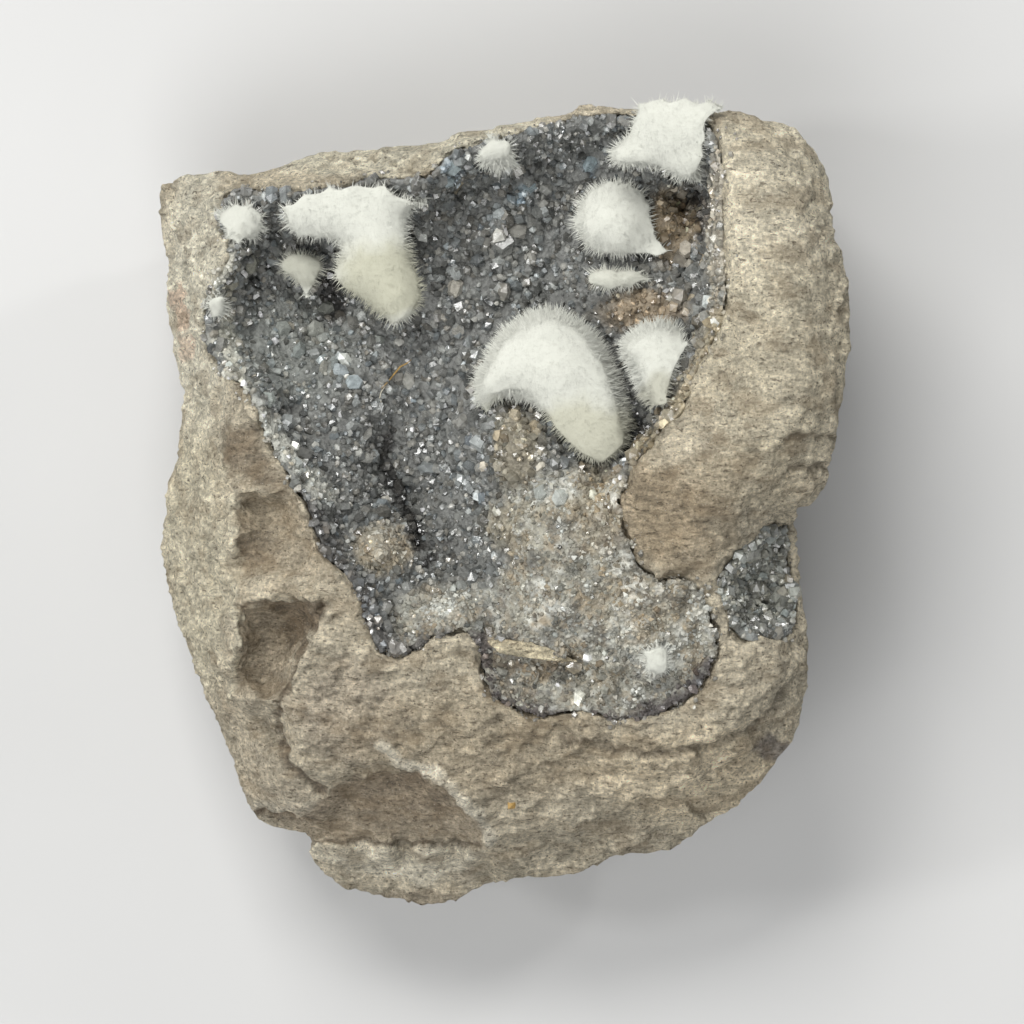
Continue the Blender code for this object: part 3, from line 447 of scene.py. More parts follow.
def crust_tints(points, seed):
    """Colour of the crusts: patches by place, scabs on the pale crust at the foot, then the lines."""
    places = points[:, :2]
    pale = paleness(places)[:, None]
    ground = linear(CRUST_COLOUR) + PALE_SHARE * pale * (linear(PALE_COLOUR) - linear(CRUST_COLOUR))
    tints = coloured(points, ground, CRUST_PATCHES, [], seed)
    scabs = sum(share * scab_colours(points, size, seed + more) for size, share, more in SCAB_LAYERS)
    tints = tints + SCAB_STRENGTH * pale * (scabs - tints)
    return CRUST_LIFT * coloured(points, tints, [], CRUST_LINES, seed)


# Lines on the rock, as on the crusts. A pale line stands out and a dark one is a groove, its dark colour
# painted shade in the groove and under the step edges
PALE_LINE = 450
LINE_HEIGHT = 0.25
LINE_DEPTH = 0.32
ROCK_LINES = [
    ([(381, 742), (400, 764), (437, 773), (459, 795), (478, 817), (492, 842)], 0.36, (214, 207, 188), 0.8),
    ([(233, 500), (235, 545), (236, 585), (238, 640), (231, 695)], 0.32, (208, 201, 178), 0.6),
    ([(325, 607), (306, 636), (290, 676), (277, 712), (279, 745), (290, 768), (322, 792)],
     0.26, (88, 76, 62), 0.75),
    ([(325, 153), (375, 158), (430, 173)], 0.14, (120, 112, 96), 0.6),
    ([(560, 738), (640, 756), (705, 748), (748, 732), (772, 712), (790, 690)],
     0.25, (96, 88, 76), 0.6),
    ([(690, 808), (722, 832)], 0.15, (90, 82, 70), 0.6),
    ([(780, 440), (812, 437), (840, 441)], 0.2, (112, 102, 86), 0.6),
    ([(790, 471), (812, 467), (836, 471)], 0.2, (112, 102, 86), 0.6),
    ([(240, 605), (284, 604), (328, 605)], 0.2, (96, 82, 66), 0.6),
    ([(246, 812), (280, 818), (306, 822)], 0.2, (88, 74, 60), 0.7),
    ([(306, 845), (400, 846), (484, 848)], 0.18, (96, 84, 70), 0.7),
]

# Outlines of the pale crust at the hollow's foot and of the granular nodule
PALE_CRUST = [
    (505, 482), (575, 468), (640, 488), (655, 560), (715, 600), (717, 660), (690, 702), (620, 724),
    (520, 717), (478, 692), (476, 645), (420, 657), (392, 642), (392, 604), (430, 584), (490, 592),
    (512, 560),
]
NODULE = [(356, 540), (372, 524), (398, 526), (414, 545), (404, 566), (376, 576), (358, 564)]


def inside_share(places, corners, softness):
    """How far each place is inside an outline of pixel corners: 1 inside, 0 outside, soft at the edge."""
    line = face_points([*corners, corners[0]])
    inside = np.zeros(len(places), dtype=bool)
    for (x0, y0), (x1, y1) in zip(line[:-1], line[1:]):
        between = (y0 > places[:, 1]) != (y1 > places[:, 1])
        crossing = x0 + (places[:, 1] - y0) * (x1 - x0) / (y1 - y0 + 1e-12)
        inside ^= between & (places[:, 0] < crossing)
    away = distance_to_line(places, line)
    return smooth_step(0.5 + np.where(inside, away, -away) / softness)


def paleness(places):
    """How far each place is in the pale crust at the hollow's foot, where grains replace crystals."""
    return np.maximum(inside_share(places, PALE_CRUST, 1.2), inside_share(places, NODULE, 0.5))


def distance_to_line(places, line):
    """Distance of each place on the face from a line of corners."""
    best = np.full(len(places), 1e9)
    for start, end in zip(line[:-1], line[1:]):
        along = end - start
        share = np.clip((places - start) @ along / (along @ along), 0.0, 1.0)
        best = np.minimum(best, np.linalg.norm(places - start - share[:, None] * along, axis=1))
    return best


def patch_share(places, middle, half_size):
    """How much each place belongs to a soft-edged patch: 1 inside, 0 outside."""
    away = (places - face_point(middle)) / (np.array(half_size) * PIXEL)
    return smooth_step((1.25 - np.linalg.norm(away, axis=1)) / 0.6)


def line_share(places, corners, half_width):
    """How much each place belongs to a soft-edged line: 1 on it, 0 away from it."""
    return smooth_step(1.4 - distance_to_line(places, face_points(corners)) / half_width)


def blend_in(colours, share, colour):
    """Mix a screen colour into an array of colours, as much as each one's share."""
    colours += share[:, None] * (linear(colour) - colours)


def coloured(points, ground, patches, lines, seed):
    """The colour of each point by its place on the face, on a ground colour, in linear light."""
    wander = np.stack([rough_noise(points, 1.6, 3, seed + 10 * axis) for axis in range(2)], axis=1)
    places = points[:, :2] + 0.55 * wander
    colours = np.broadcast_to(ground, (len(points), 3)).copy()
    for middle, half_size, colour, strength in patches:
        blend_in(colours, strength * patch_share(places, middle, half_size), colour)
    for corners, half_width, colour, strength in lines:
        blend_in(colours, strength * line_share(places, corners, half_width), colour)
    return colours


# Materials

class Nodes:
    """Short calls for building one material's nodes."""

    def __init__(self, name):
        self.material = bpy.data.materials.new(name)
        self.material.use_nodes = True
        self.tree = self.material.node_tree
        self.shader = self.tree.nodes["Principled BSDF"]
        coordinates = self.tree.nodes.new("ShaderNodeTexCoord")
        scale = self.tree.nodes.new("ShaderNodeMapping")
        scale.inputs["Scale"].default_value = (1.0 / METRE, 1.0 / METRE, 1.0 / METRE)
        self.link(coordinates.outputs["Object"], scale.inputs["Vector"])
        self.millimetres = scale.outputs["Vector"]

    def link(self, source, target):
        self.tree.links.new(source, target)

    def stretched(self, x, y, z):
        mapping = self.tree.nodes.new("ShaderNodeMapping")
        mapping.inputs["Scale"].default_value = (x, y, z)
        self.link(self.millimetres, mapping.inputs["Vector"])
        return mapping.outputs["Vector"]

    def noise(self, scale, detail, roughness=0.5, vector=None):
        made = self.tree.nodes.new("ShaderNodeTexNoise")
        made.inputs["Scale"].default_value = scale
        made.inputs["Detail"].default_value = detail
        made.inputs["Roughness"].default_value = roughness
        self.link(vector or self.millimetres, made.inputs["Vector"])
        return made.outputs["Fac"]

    def cells(self, scale, output="Distance"):
        made = self.tree.nodes.new("ShaderNodeTexVoronoi")
        made.inputs["Scale"].default_value = scale
        self.link(self.millimetres, made.inputs["Vector"])
        return made.outputs[output]

    def ramp(self, value, low, high, out_low=0.0, out_high=1.0):
        made = self.tree.nodes.new("ShaderNodeMapRange")
        limits = {"From Min": low, "From Max": high, "To Min": out_low, "To Max": out_high}
        for key, number in limits.items():
            made.inputs[key].default_value = number
        self.link(value, made.inputs["Value"])
        return made.outputs["Result"]

    def maths(self, operation, first, second):
        made = self.tree.nodes.new("ShaderNodeMath")
        made.operation = operation
        for socket, value in zip(made.inputs, (first, second)):
            if isinstance(value, (int, float)):
                socket.default_value = value
            else:
                self.link(value, socket)
        return made.outputs[0]

    def tint(self):
        made = self.tree.nodes.new("ShaderNodeAttribute")
        made.attribute_name = "tint"
        return made.outputs["Color"]

    def scaled(self, colour, factor):
        """A colour multiplied by a number that varies over the surface."""
        made = self.tree.nodes.new("ShaderNodeVectorMath")
        made.operation = "SCALE"
        self.link(colour, made.inputs[0])
        self.link(factor, made.inputs["Scale"])
        return made.outputs["Vector"]

    def mixed(self, share, first, second):
        made = self.tree.nodes.new("ShaderNodeMix")
        made.data_type = "RGBA"
        self.link(share, made.inputs["Factor"])
        colours = [socket for socket in made.inputs if socket.type == "RGBA"]
        for socket, value in zip(colours, (first, second)):
            if isinstance(value, tuple):
                socket.default_value = (*value, 1.0)
            else:
                self.link(value, socket)
        return [socket for socket in made.outputs if socket.type == "RGBA"][0]

    def bump(self, height, millimetres, before=None):
        made = self.tree.nodes.new("ShaderNodeBump")
        made.inputs["Strength"].default_value = 1.0
        made.inputs["Distance"].default_value = millimetres * METRE
        self.link(height, made.inputs["Height"])
        if before is not None:
            self.link(before, made.inputs["Normal"])
        return made.outputs["Normal"]


def limestone_material():
    """Fine-grained tan limestone: brown mottling, dark dashes, dark specks of painted shade in small pits,
    pale grains painted as glints, hackly relief.
    """
    n = Nodes("tan_limestone")
    cloud = n.ramp(n.noise(0.55, 5.0, 0.62), 0.36, 0.64, 0.72, 1.2)
    grain = n.ramp(n.noise(3.6, 4.0, 0.7), 0.36, 0.64, 0.66, 1.3)
    layer = n.ramp(n.noise(1.0, 6.0, 0.7, n.stretched(0.6, 3.2, 3.2)), 0.38, 0.62, 0.76, 1.18)
    colour = n.scaled(n.tint(), n.maths("MULTIPLY", n.maths("MULTIPLY", cloud, grain), layer))
    brown = n.ramp(n.noise(0.33, 4.0, 0.6, n.stretched(1.0, 1.6, 1.6)), 0.5, 0.62, 0.0, 0.4)
    colour = n.mixed(brown, colour, tuple(linear((140, 120, 92))))
    dashes = n.ramp(n.noise(1.0, 3.0, 0.62, n.stretched(1.5, 4.2, 4.2)), 0.33, 0.41, 0.7, 0.0)
    colour = n.mixed(dashes, colour, tuple(linear((86, 74, 58))))
    # Dark specks: painted shade in small pits
    pit_shade_specks = n.ramp(n.cells(2.6), 0.10, 0.20, 0.65, 0.0)
    colour = n.mixed(pit_shade_specks, colour, tuple(linear((84, 74, 60))))
    # Pale specks: pale grains, painted as glints
    painted_glints = n.ramp(n.cells(3.7), 0.06, 0.15, 0.6, 0.0)
    colour = n.mixed(painted_glints, colour, tuple(linear((234, 230, 216))))
    n.link(colour, n.shader.inputs["Base Color"])
    n.link(n.ramp(n.noise(3.0, 3.0), 0.3, 0.7, 0.78, 0.95), n.shader.inputs["Roughness"])
    n.shader.inputs["Specular IOR Level"].default_value = 0.3
    streaks = n.noise(1.0, 6.0, 0.7, n.stretched(1.6, 6.0, 6.0))
    normal = n.bump(streaks, 0.4)
    normal = n.bump(n.noise(3.4, 6.0, 0.75), 0.55, normal)
    n.link(normal, n.shader.inputs["Normal"])
    return n.material


def crust_material():
    """The quartz crust between its crystals: granular, glassy in places."""
    n = Nodes("quartz_crust")
    cloud = n.ramp(n.noise(1.1, 5.0, 0.65), 0.3, 0.7, 0.75, 1.25)
    grain = n.ramp(n.cells(3.4, "Color"), 0.0, 1.0, 0.7, 1.25)
    n.link(n.scaled(n.tint(), n.maths("MULTIPLY", cloud, grain)), n.shader.inputs["Base Color"])
    n.link(n.ramp(n.noise(4.0, 3.0), 0.35, 0.65, 0.25, 0.6), n.shader.inputs["Roughness"])
    normal = n.bump(n.cells(3.4), 0.14)
    normal = n.bump(n.noise(7.0, 5.0, 0.7), 0.10, normal)
    n.link(normal, n.shader.inputs["Normal"])
    return n.material


def crystal_material():
    """Small quartz crystals: clear to smoky, with milky veils."""
    n = Nodes("quartz_crystal")
    veil = n.ramp(n.noise(3.2, 4.0, 0.6), 0.35, 0.65, 0.75, 1.25)
    n.link(n.scaled(n.tint(), veil), n.shader.inputs["Base Color"])
    n.link(n.ramp(n.noise(2.0, 3.0), 0.35, 0.65, 0.08, 0.3), n.shader.inputs["Roughness"])
    n.shader.inputs["IOR"].default_value = 1.54
    n.shader.inputs["Transmission Weight"].default_value = 0.4
    n.shader.inputs["Specular IOR Level"].default_value = 0.8
    n.link(n.bump(n.noise(9.0, 3.0), 0.015), n.shader.inputs["Normal"])
    return n.material


def grain_material():
    """Matt mineral grains on the pale crust."""
    n = Nodes("crust_grains")
    cloud = n.ramp(n.noise(1.6, 4.0, 0.6), 0.3, 0.7, 0.82, 1.16)
    n.link(n.scaled(n.tint(), cloud), n.shader.inputs["Base Color"])
    n.link(n.ramp(n.noise(5.0, 2.0), 0.35, 0.65, 0.55, 0.85), n.shader.inputs["Roughness"])
    n.shader.inputs["Specular IOR Level"].default_value = 0.3
    n.link(n.bump(n.noise(8.0, 4.0, 0.6), 0.03), n.shader.inputs["Normal"])
    return n.material


def needle_material():
    """Strontianite: white silky needles, by their tint faintly cream and darker with painted shade in
    places.
    """
    n = Nodes("strontianite_needles")
    cloud = n.ramp(n.noise(0.6, 4.0, 0.6), 0.35, 0.65, 0.96, 1.03)
    n.link(n.scaled(n.tint(), cloud), n.shader.inputs["Base Color"])
    n.link(n.ramp(n.noise(5.0, 2.0), 0.35, 0.65, 0.5, 0.7), n.shader.inputs["Roughness"])
    n.shader.inputs["Specular IOR Level"].default_value = 0.3
    return n.material


def fibre_material(name, colour):
    n = Nodes(name)
    shade = n.ramp(n.noise(3.0, 2.0), 0.3, 0.7, 0.7, 1.2)
    rgb = n.tree.nodes.new("ShaderNodeRGB")
    rgb.outputs[0].default_value = (*linear(colour), 1.0)
    n.link(n.scaled(rgb.outputs[0], shade), n.shader.inputs["Base Color"])
    n.shader.inputs["Roughness"].default_value = 0.4
    return n.material


def floor_material():
    n = Nodes("pale_floor")
    cloud = n.ramp(n.noise(0.02, 3.0), 0.3, 0.7)
    n.link(n.mixed(cloud, (0.43, 0.43, 0.425), (0.46, 0.46, 0.455)), n.shader.inputs["Base Color"])
    n.shader.inputs["Roughness"].default_value = 0.9
    return n.material


# The rock

# Broken relief where the rock is rough: height and facet size in millimetres, and seed
ROUGH_RELIEF = [(0.20, (3.2, 1.8, 1.6), 41), (0.24, (1.1, 0.75, 0.7), 47)]
# Fine layering all over the rock, in the same form
LAYER_RELIEF = (0.12, (0.9, 0.32, 0.45), 49)


def make_rock(limestone):
    """The rock's surface. Returns its points, faces and normals for what stands on it."""
    points, faces = triangles_of(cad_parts["matrix_rock"])
    crusts = [tree_of(*triangles_of(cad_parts[name]))
              for name in ("vug_quartz_crust", "side_pocket_quartz_crust")]
    face_tree = tree_of(points, faces)

    def covered_by_crust(places):
        hidden = np.zeros(len(places), dtype=bool)
        for tree in crusts:
            hidden |= ray_hits(tree, places, UP, COVER_REACH)
        return hidden

    def longest(middle):
        """Fine where the rock faces up with nothing above it, coarse where it can't be seen."""
        clear = ~ray_hits(face_tree, middle + RAY_START, UP, ROCK_RAY)
        size = np.where(clear & (middle[:, 2] > SIDE_TOP), FACE_EDGE, SIDE_EDGE)
        size[covered_by_crust(middle)] = HIDDEN_EDGE
        size[middle[:, 2] < BASE_LEVEL] = HIDDEN_EDGE
        return size

    points, faces = refined(points, faces, longest)
    free = (points[:, 2] >= BASE_LEVEL) & ~covered_by_crust(points)
    points = smoothed(points, faces, 3, 0.5 * free)
    normals = normals_of(points, faces)
    facing = smooth_step((normals[:, 2] - 0.1) / 0.3)
    on_plate = smooth_step((points[:, 0] - 11.0) / 4.0) * smooth_step((points[:, 1] + 4.0) / 5.0)
    plate_top = on_plate * smooth_step((normals[:, 2] - 0.5) / 0.3)
    wander = np.stack([rough_noise(points, 1.0, 3, 81 + 10 * axis) for axis in range(2)], axis=1)
    places = points[:, :2] + 0.3 * wander
    tints = coloured(points, linear(ROCK_COLOUR), ROCK_PATCHES, [], 61)
    shift = np.zeros(len(points))
    smooth_face = 0.6 * plate_top
    for corners, colour, strength, depth, deep_side in ROCK_FACETS:
        share = inside_share(places, corners, 0.9)
        outline = face_points(corners)
        middle = outline.mean(axis=0)
        towards = unit(np.array([deep_side[0], -deep_side[1]], dtype=float))
        span = np.abs((outline - middle) @ towards).max()
        slope = np.clip(0.55 + 0.45 * ((places - middle) @ towards) / span, 0.0, 1.0)
        # A facet's colour is strongest towards its deep side, so the painted shade gathers in the hollows
        blend_in(tints, strength * share * (0.45 + 0.55 * slope), colour)
        shift -= depth * share * slope * facing
        smooth_face = np.maximum(smooth_face, 0.4 * share)
    for corners, half_width, colour, strength in ROCK_LINES:
        share = line_share(places, corners, half_width)
        # On the dark lines this colour is painted shade
        blend_in(tints, strength * share, colour)
        shift += (LINE_HEIGHT if sum(colour) > PALE_LINE else -LINE_DEPTH) * share * facing
    rough = (1.0 - smooth_face) * (0.55 + 0.45 * facing)
    for height, size, seed in ROUGH_RELIEF:
        shift += height * rough * broken_noise(points, size, seed)
    height, size, seed = LAYER_RELIEF
    shift += height * broken_noise(points, size, seed)
    shift += 0.10 * rough * rough_noise(points, (0.8, 0.6, 0.6), 3, 53)
    low = smooth_step((points[:, 2] - 0.1) / 1.2)
    points = points + normals * (shift * low * free)[:, None]
    points = smoothed(points, faces, 1, 0.45 * free)
    points[:, 2] = np.maximum(points[:, 2], 0.0)
    rock = mesh_piece("matrix_rock_surface", points, faces, limestone, True,
                      limited(ROCK_LIFT * tints))
    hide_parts("matrix_rock")
    return points, faces, normals


def make_rim_crystals(rock, crusts, material):
    """Small quartz crystals on the rock's edge all round the crusts."""
    points, faces, normals = rock
    rng = np.random.default_rng(377)
    middle = points[faces].mean(axis=1)
    band = patch_share(middle[:, :2], *RIM_BAND)
    reach = RIM_REACH * (1.0 + 0.8 * noise(middle, 2.2, 379) + 1.5 * band)
    near = np.zeros(len(faces), dtype=bool)
    for crust in crusts:
        tree = tree_of(crust[0], crust[1])
        near |= np.array([tree.find_nearest(Vector(place), limit)[0] is not None
                          for place, limit in zip(middle, np.maximum(reach, 0.1))])
    chosen = near & (normals[faces].mean(axis=1)[:, 2] > 0.2)
    places, ways = places_on(points, faces, normals, chosen, RIM_CRYSTALS, rng)
    radii = 0.08 + 0.14 * rng.random(len(places)) ** 2
    ways = unit(ways + 0.45 * rng.normal(size=ways.shape))
    solid, triangles = hexagonal_crystals(places, ways, radii, radii * 1.3, rng)
    tints = crust_tints(places, 381)
    tints = np.clip(tints + 0.6 * (linear((168, 165, 154)) - tints), 0.0, 0.8)
    tints = tints * np.exp(rng.normal(0.1, 0.3, len(places)))[:, None]
    mesh_piece("rim_crystals", solid, triangles, material, False,
               np.repeat(np.clip(tints, 0.0, 0.85), CRYSTAL_POINTS, axis=0))


# The crusts and what stands on them

def make_crust(node, name, material, seed):
    """A crust's refined skin. Returns its points, faces and normals for what stands on it."""
    points, faces = triangles_of(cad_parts[node])
    tree = tree_of(points, faces)

    def open_above(places):
        return ~ray_hits(tree, places + RAY_START, UP, CRUST_RAY)

    points, faces = refined(
        points, faces, lambda middle: np.where(open_above(middle), CRUST_EDGE, HIDDEN_EDGE))
    top = open_above(points)
    points = smoothed(points, faces, 3, 0.5 * top)
    normals = normals_of(points, faces)
    shift = 0.12 + 0.20 * broken_noise(points, 1.1, seed) + 0.14 * rough_noise(points, 0.9, 3, seed + 5)
    points = points + normals * (shift * top)[:, None]
    tints = crust_tints(points, seed + 9)
    piece = mesh_piece(name, points, faces, material, True, tints)
    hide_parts(node)
    return points, faces, normals, top


def places_on(points, faces, normals, chosen, count, rng):
    """Random places on the chosen faces, by area, with the surface's direction at each."""
    corners = points[faces]
    area = np.linalg.norm(np.cross(corners[:, 1] - corners[:, 0], corners[:, 2] - corners[:, 0]), axis=1)
    area = area * chosen
    picked = rng.choice(len(faces), count, p=area / area.sum())
    shares = rng.random((count, 2))
    over = shares.sum(axis=1) > 1.0
    shares[over] = 1.0 - shares[over]
    weights = np.column_stack([1.0 - shares.sum(axis=1), shares])
    places = np.einsum("ij,ijk->ik", weights, corners[picked])
    ways = unit(np.einsum("ij,ijk->ik", weights, normals[faces[picked]]))
    return places, ways


def frames_of(ways, rng):
    """Two directions across each given one, turned at random."""
    helper = np.where(np.abs(ways[:, 2:]) < 0.9, [[0.0, 0.0, 1.0]], [[1.0, 0.0, 0.0]])
    first = unit(np.cross(ways, helper))
    second = np.cross(ways, first)
    turn = rng.uniform(0.0, math.tau, len(ways))
    across = first * np.cos(turn)[:, None] + second * np.sin(turn)[:, None]
    return across, np.cross(ways, across)


def ring_of(first, second, sides):
    """Places at even angles round each centre, in the plane of two directions."""
    angles = np.arange(sides) * math.tau / sides
    return (np.cos(angles)[None, :, None] * first[:, None, :]
            + np.sin(angles)[None, :, None] * second[:, None, :])


def hexagonal_crystals(places, ways, radii, lengths, rng):
    """Six-sided prisms with pointed ends as points and triangles: 13 points and 22 faces each."""
    count = len(places)
    across, along = frames_of(ways, rng)
    squash = rng.uniform(0.75, 1.25, (count, 1))
    ring = ring_of(across * squash, along / squash, 6) * radii[:, None, None]
    foot = places[:, None, :] + ring - ways[:, None, :] * (0.6 * lengths)[:, None, None]
    steps = np.where(np.arange(6) % 2 == 0, 0.18, -0.18)[None, :] * radii[:, None]
    shoulder = places[:, None, :] + ring + ways[:, None, :] * (0.35 * lengths[:, None] + steps)[:, :, None]
    lean = rng.uniform(-0.22, 0.22, (count, 2)) * radii[:, None]
    tip = places + ways * (0.35 * lengths + 0.85 * radii)[:, None]
    tip = tip + across * lean[:, :1] + along * lean[:, 1:]
    points = np.concatenate([foot, shoulder, tip[:, None, :]], axis=1)
    faces = []
    for i in range(6):
        after = (i + 1) % 6
        faces += [(i, after, 6 + after), (i, 6 + after, 6 + i), (6 + i, 6 + after, 12)]
    faces += [(0, 2, 1), (0, 3, 2), (0, 4, 3), (0, 5, 4)]
    faces = np.array(faces)[None, :, :] + CRYSTAL_POINTS * np.arange(count)[:, None, None]
    return points.reshape(-1, 3), faces.reshape(-1, 3)


def blocky_grains(places, ways, radii, rng):
    """Small angular grains as points and triangles: 6 points and 8 faces each."""
    count = len(places)
    across, along = frames_of(ways, rng)
    stretch = rng.uniform(0.6, 1.4, (count, 6)) * radii[:, None]
    axes = (across, along, -across, -along, ways, -ways)
    points = np.stack([places + axis * stretch[:, i:i + 1] for i, axis in enumerate(axes)], axis=1)
    faces = np.array([
        (0, 1, 4), (1, 2, 4), (2, 3, 4), (3, 0, 4), (1, 0, 5), (2, 1, 5), (3, 2, 5), (0, 3, 5)])
    faces = faces[None, :, :] + GRAIN_POINTS * np.arange(count)[:, None, None]
    return points.reshape(-1, 3), faces.reshape(-1, 3)


def cover_crust(skin, crystal_name, grain_name, crystal_count, grain_count, materials, seed):
    """Quartz crystals and, on the pale crust, matt grains all over a crust's skin."""
    points, faces, normals, top = skin
    rng = np.random.default_rng(seed)
    chosen = top[faces].all(axis=1)
    places, ways = places_on(points, faces, normals, chosen, crystal_count, rng)
    pale = paleness(places[:, :2])
    keep = rng.random(len(places)) > 0.8 * pale
    places, ways, pale = places[keep], ways[keep], pale[keep]
    tints = crust_tints(places, seed + 2)
    bright = smooth_step(tints.mean(axis=1) / 0.44)
    size = 0.9 + 0.4 * noise(places, 3.5, seed + 1)
    radii = 0.15 + 0.18 * rng.random(len(places)) ** 1.5 + 0.34 * rng.random(len(places)) ** 11
    radii = radii * size * (1.0 - 0.3 * np.maximum(pale, bright))
    ways = unit(ways + 0.42 * rng.normal(size=ways.shape))
    lengths = radii * rng.uniform(0.9, 2.0, len(places))
    solid, triangles = hexagonal_crystals(places, ways, radii, lengths, rng)
    # Each crystal's brightness is lifted at random, the pale ones less, and one in twenty much more, as a
    # painted glint
    painted_glint_crystals = rng.random(len(places)) < 0.05
    shade = np.exp(rng.normal(0.56, 0.38, len(places)) - 0.62 * bright + 0.7 * painted_glint_crystals)[:, None]
    cool = rng.normal(0.0, 0.035, len(places))[:, None] * np.array([[-1.0, 0.0, 1.1]])
    tints = np.clip(tints * shade * (1.0 + cool), 0.0, 0.85)
    mesh_piece(crystal_name, solid, triangles, materials["crystal"], False,
               np.repeat(tints, CRYSTAL_POINTS, axis=0))
    if grain_count == 0:
        return
    places, ways = places_on(points, faces, normals, chosen, grain_count, rng)
    pale = paleness(places[:, :2])
    keep = rng.random(len(places)) < pale
    places, ways = places[keep], ways[keep]
    radii = 0.06 + 0.17 * rng.random(len(places)) ** 2
    ways = unit(ways + 0.4 * rng.normal(size=ways.shape))
    solid, triangles = blocky_grains(places, ways, radii, rng)
    tints = crust_tints(places, seed + 2)
    tints = np.clip(0.9 * tints * np.exp(rng.normal(0.0, 0.16, len(places)))[:, None], 0.0, 0.9)
    mesh_piece(grain_name, solid, triangles, materials["grain"], False,
               np.repeat(tints, GRAIN_POINTS, axis=0))


# Larger grains of quartz: middle and radius in pixels, screen colour
BIG_CRYSTALS = [
    ((282, 328), 9, (156, 160, 154)), ((314, 329), 10, (166, 168, 160)), ((324, 308), 9, (140, 142, 134)),
    ((250, 264), 9, (140, 140, 128)), ((231, 282), 8, (150, 148, 134)), ((298, 350), 8, (150, 156, 152)),
    ((340, 372), 8, (172, 180, 182)), ((353, 382), 9, (180, 190, 192)), ((452, 168), 9, (178, 190, 192)),
    ((447, 182), 7, (166, 178, 180)), ((590, 163), 8, (160, 174, 178)), ((484, 498), 8, (120, 128, 132)),
    ((470, 440), 7, (118, 124, 128)), ((530, 186), 7, (158, 172, 176)), ((376, 340), 7, (142, 146, 140)),
    ((268, 400), 8, (170, 176, 170)), ((560, 498), 9, (196, 200, 194)), ((541, 492), 8, (180, 184, 178)),
]


def make_big_crystals(tree, material):
    """The larger grains of quartz that stand out of the druse."""
    rng = np.random.default_rng(411)
    places = np.array([on_surface(tree, pixel) for pixel, _, _ in BIG_CRYSTALS])
    radii = np.array([radius * PIXEL for _, radius, _ in BIG_CRYSTALS])
    ways = unit(np.array([[0.0, 0.0, 1.0]]) + 0.3 * rng.normal(size=places.shape))
    solid, triangles = hexagonal_crystals(places, ways, radii, 0.9 * radii, rng)
    tints = np.array([linear(colour) for _, _, colour in BIG_CRYSTALS])
    mesh_piece("large_quartz_grains", solid, triangles, material, False,
               np.repeat(tints, CRYSTAL_POINTS, axis=0))


def on_surface(tree, pixel, lift=0.0):
    """The point of a surface below a pixel, raised a little."""
    x, y = face_point(pixel)
    hit = tree.ray_cast(Vector((x, y, 100.0)), Vector((0.0, 0.0, -1.0)))[0]
    return np.array([x, y, hit.z + lift])


# The fibre, the hair, the shard's outline and the fleck, in pixels
FIBRE = [(411, 359), (406, 363), (400, 366), (395, 372), (388, 381), (381, 388)]
HAIR = [(386, 385), (381, 391), (379, 398), (383, 406)]
SHARD = [(487, 641), (503, 638), (530, 642), (554, 650), (577, 661), (550, 660), (522, 656), (501, 653)]
FLECK = (512, 806)
SHARD_COLOUR = (218, 206, 176)
SHARD_THICKNESS = 0.9


def tube(centres, radii, sides=6):
    """A closed tube through the centres as points and triangles."""
    centres = np.asarray(centres)
    ways = unit(np.gradient(centres, axis=0))
    side = unit(np.cross(ways, [[0.0, 0.0, 1.0]]))
    over = np.cross(side, ways)
    rings = centres[:, None, :] + ring_of(side, over, sides) * np.asarray(radii)[:, None, None]
    count = len(centres)
    faces = []
    for ring in range(count - 1):
        for i in range(sides):
            a, b = ring * sides + i, ring * sides + (i + 1) % sides
            faces += [(a, b, b + sides), (a, b + sides, a + sides)]
    last = (count - 1) * sides
    for i in range(1, sides - 1):
        faces += [(0, i + 1, i), (last, last + i, last + i + 1)]
    return rings.reshape(-1, 3), np.array(faces)


def make_small_things(crust_tree, rock_tree, limestone):
    """The fibre and the hair on the druse, the fleck on the rock, and the shard at the hollow's foot."""
    gold = fibre_material("golden_fibre", (146, 118, 66))
    fibre = [on_surface(crust_tree, pixel, 0.5) for pixel in FIBRE]
    points, faces = tube(fibre, (0.02, 0.045, 0.06, 0.06, 0.04, 0.02))
    mesh_piece("golden_fibre", points, faces, gold, True)
    hair = [on_surface(crust_tree, pixel, 0.45) for pixel in HAIR]
    points, faces = tube(hair, (0.02, 0.028, 0.028, 0.015))
    mesh_piece("pale_hair", points, faces, fibre_material("pale_hair", (196, 190, 170)), True)
    rng = np.random.default_rng(433)
    place = on_surface(rock_tree, FLECK, 0.05)[None, :]
    points, faces = blocky_grains(place, np.array([[0.0, 0.0, 1.0]]), np.array([0.34]), rng)
    mesh_piece("golden_fleck", points, faces, gold, False)
    top = np.array([on_surface(crust_tree, pixel, 0.45) for pixel in SHARD])
    top[:, 2] = 0.4 * top[:, 2] + 0.6 * top[:, 2].mean()
    count = len(top)
    middle = top.mean(axis=0)
    down = np.array([0.0, 0.0, SHARD_THICKNESS])
    points = np.vstack([top, top - down, middle + [0.0, 0.0, 0.1], middle - down])
    faces = []
    for i in range(count):
        j = (i + 1) % count
        faces += [(i, j, 2 * count), (j, i, count + j), (i, count + i, count + j)]
        faces.append((count + j, count + i, 2 * count + 1))
    points, faces = refined(points, np.array(faces), lambda middle: np.full(len(middle), 0.2))
    points = points + normals_of(points, faces) * (0.1 * rough_noise(points, 0.5, 2, 437))[:, None]
    shade = 1.0 + 0.25 * rough_noise(points, 0.6, 3, 439)
    tints = limited(ROCK_LIFT * shade[:, None] * linear(SHARD_COLOUR))
    mesh_piece("beige_shard", points, faces, limestone, True, tints)


# Strontianite

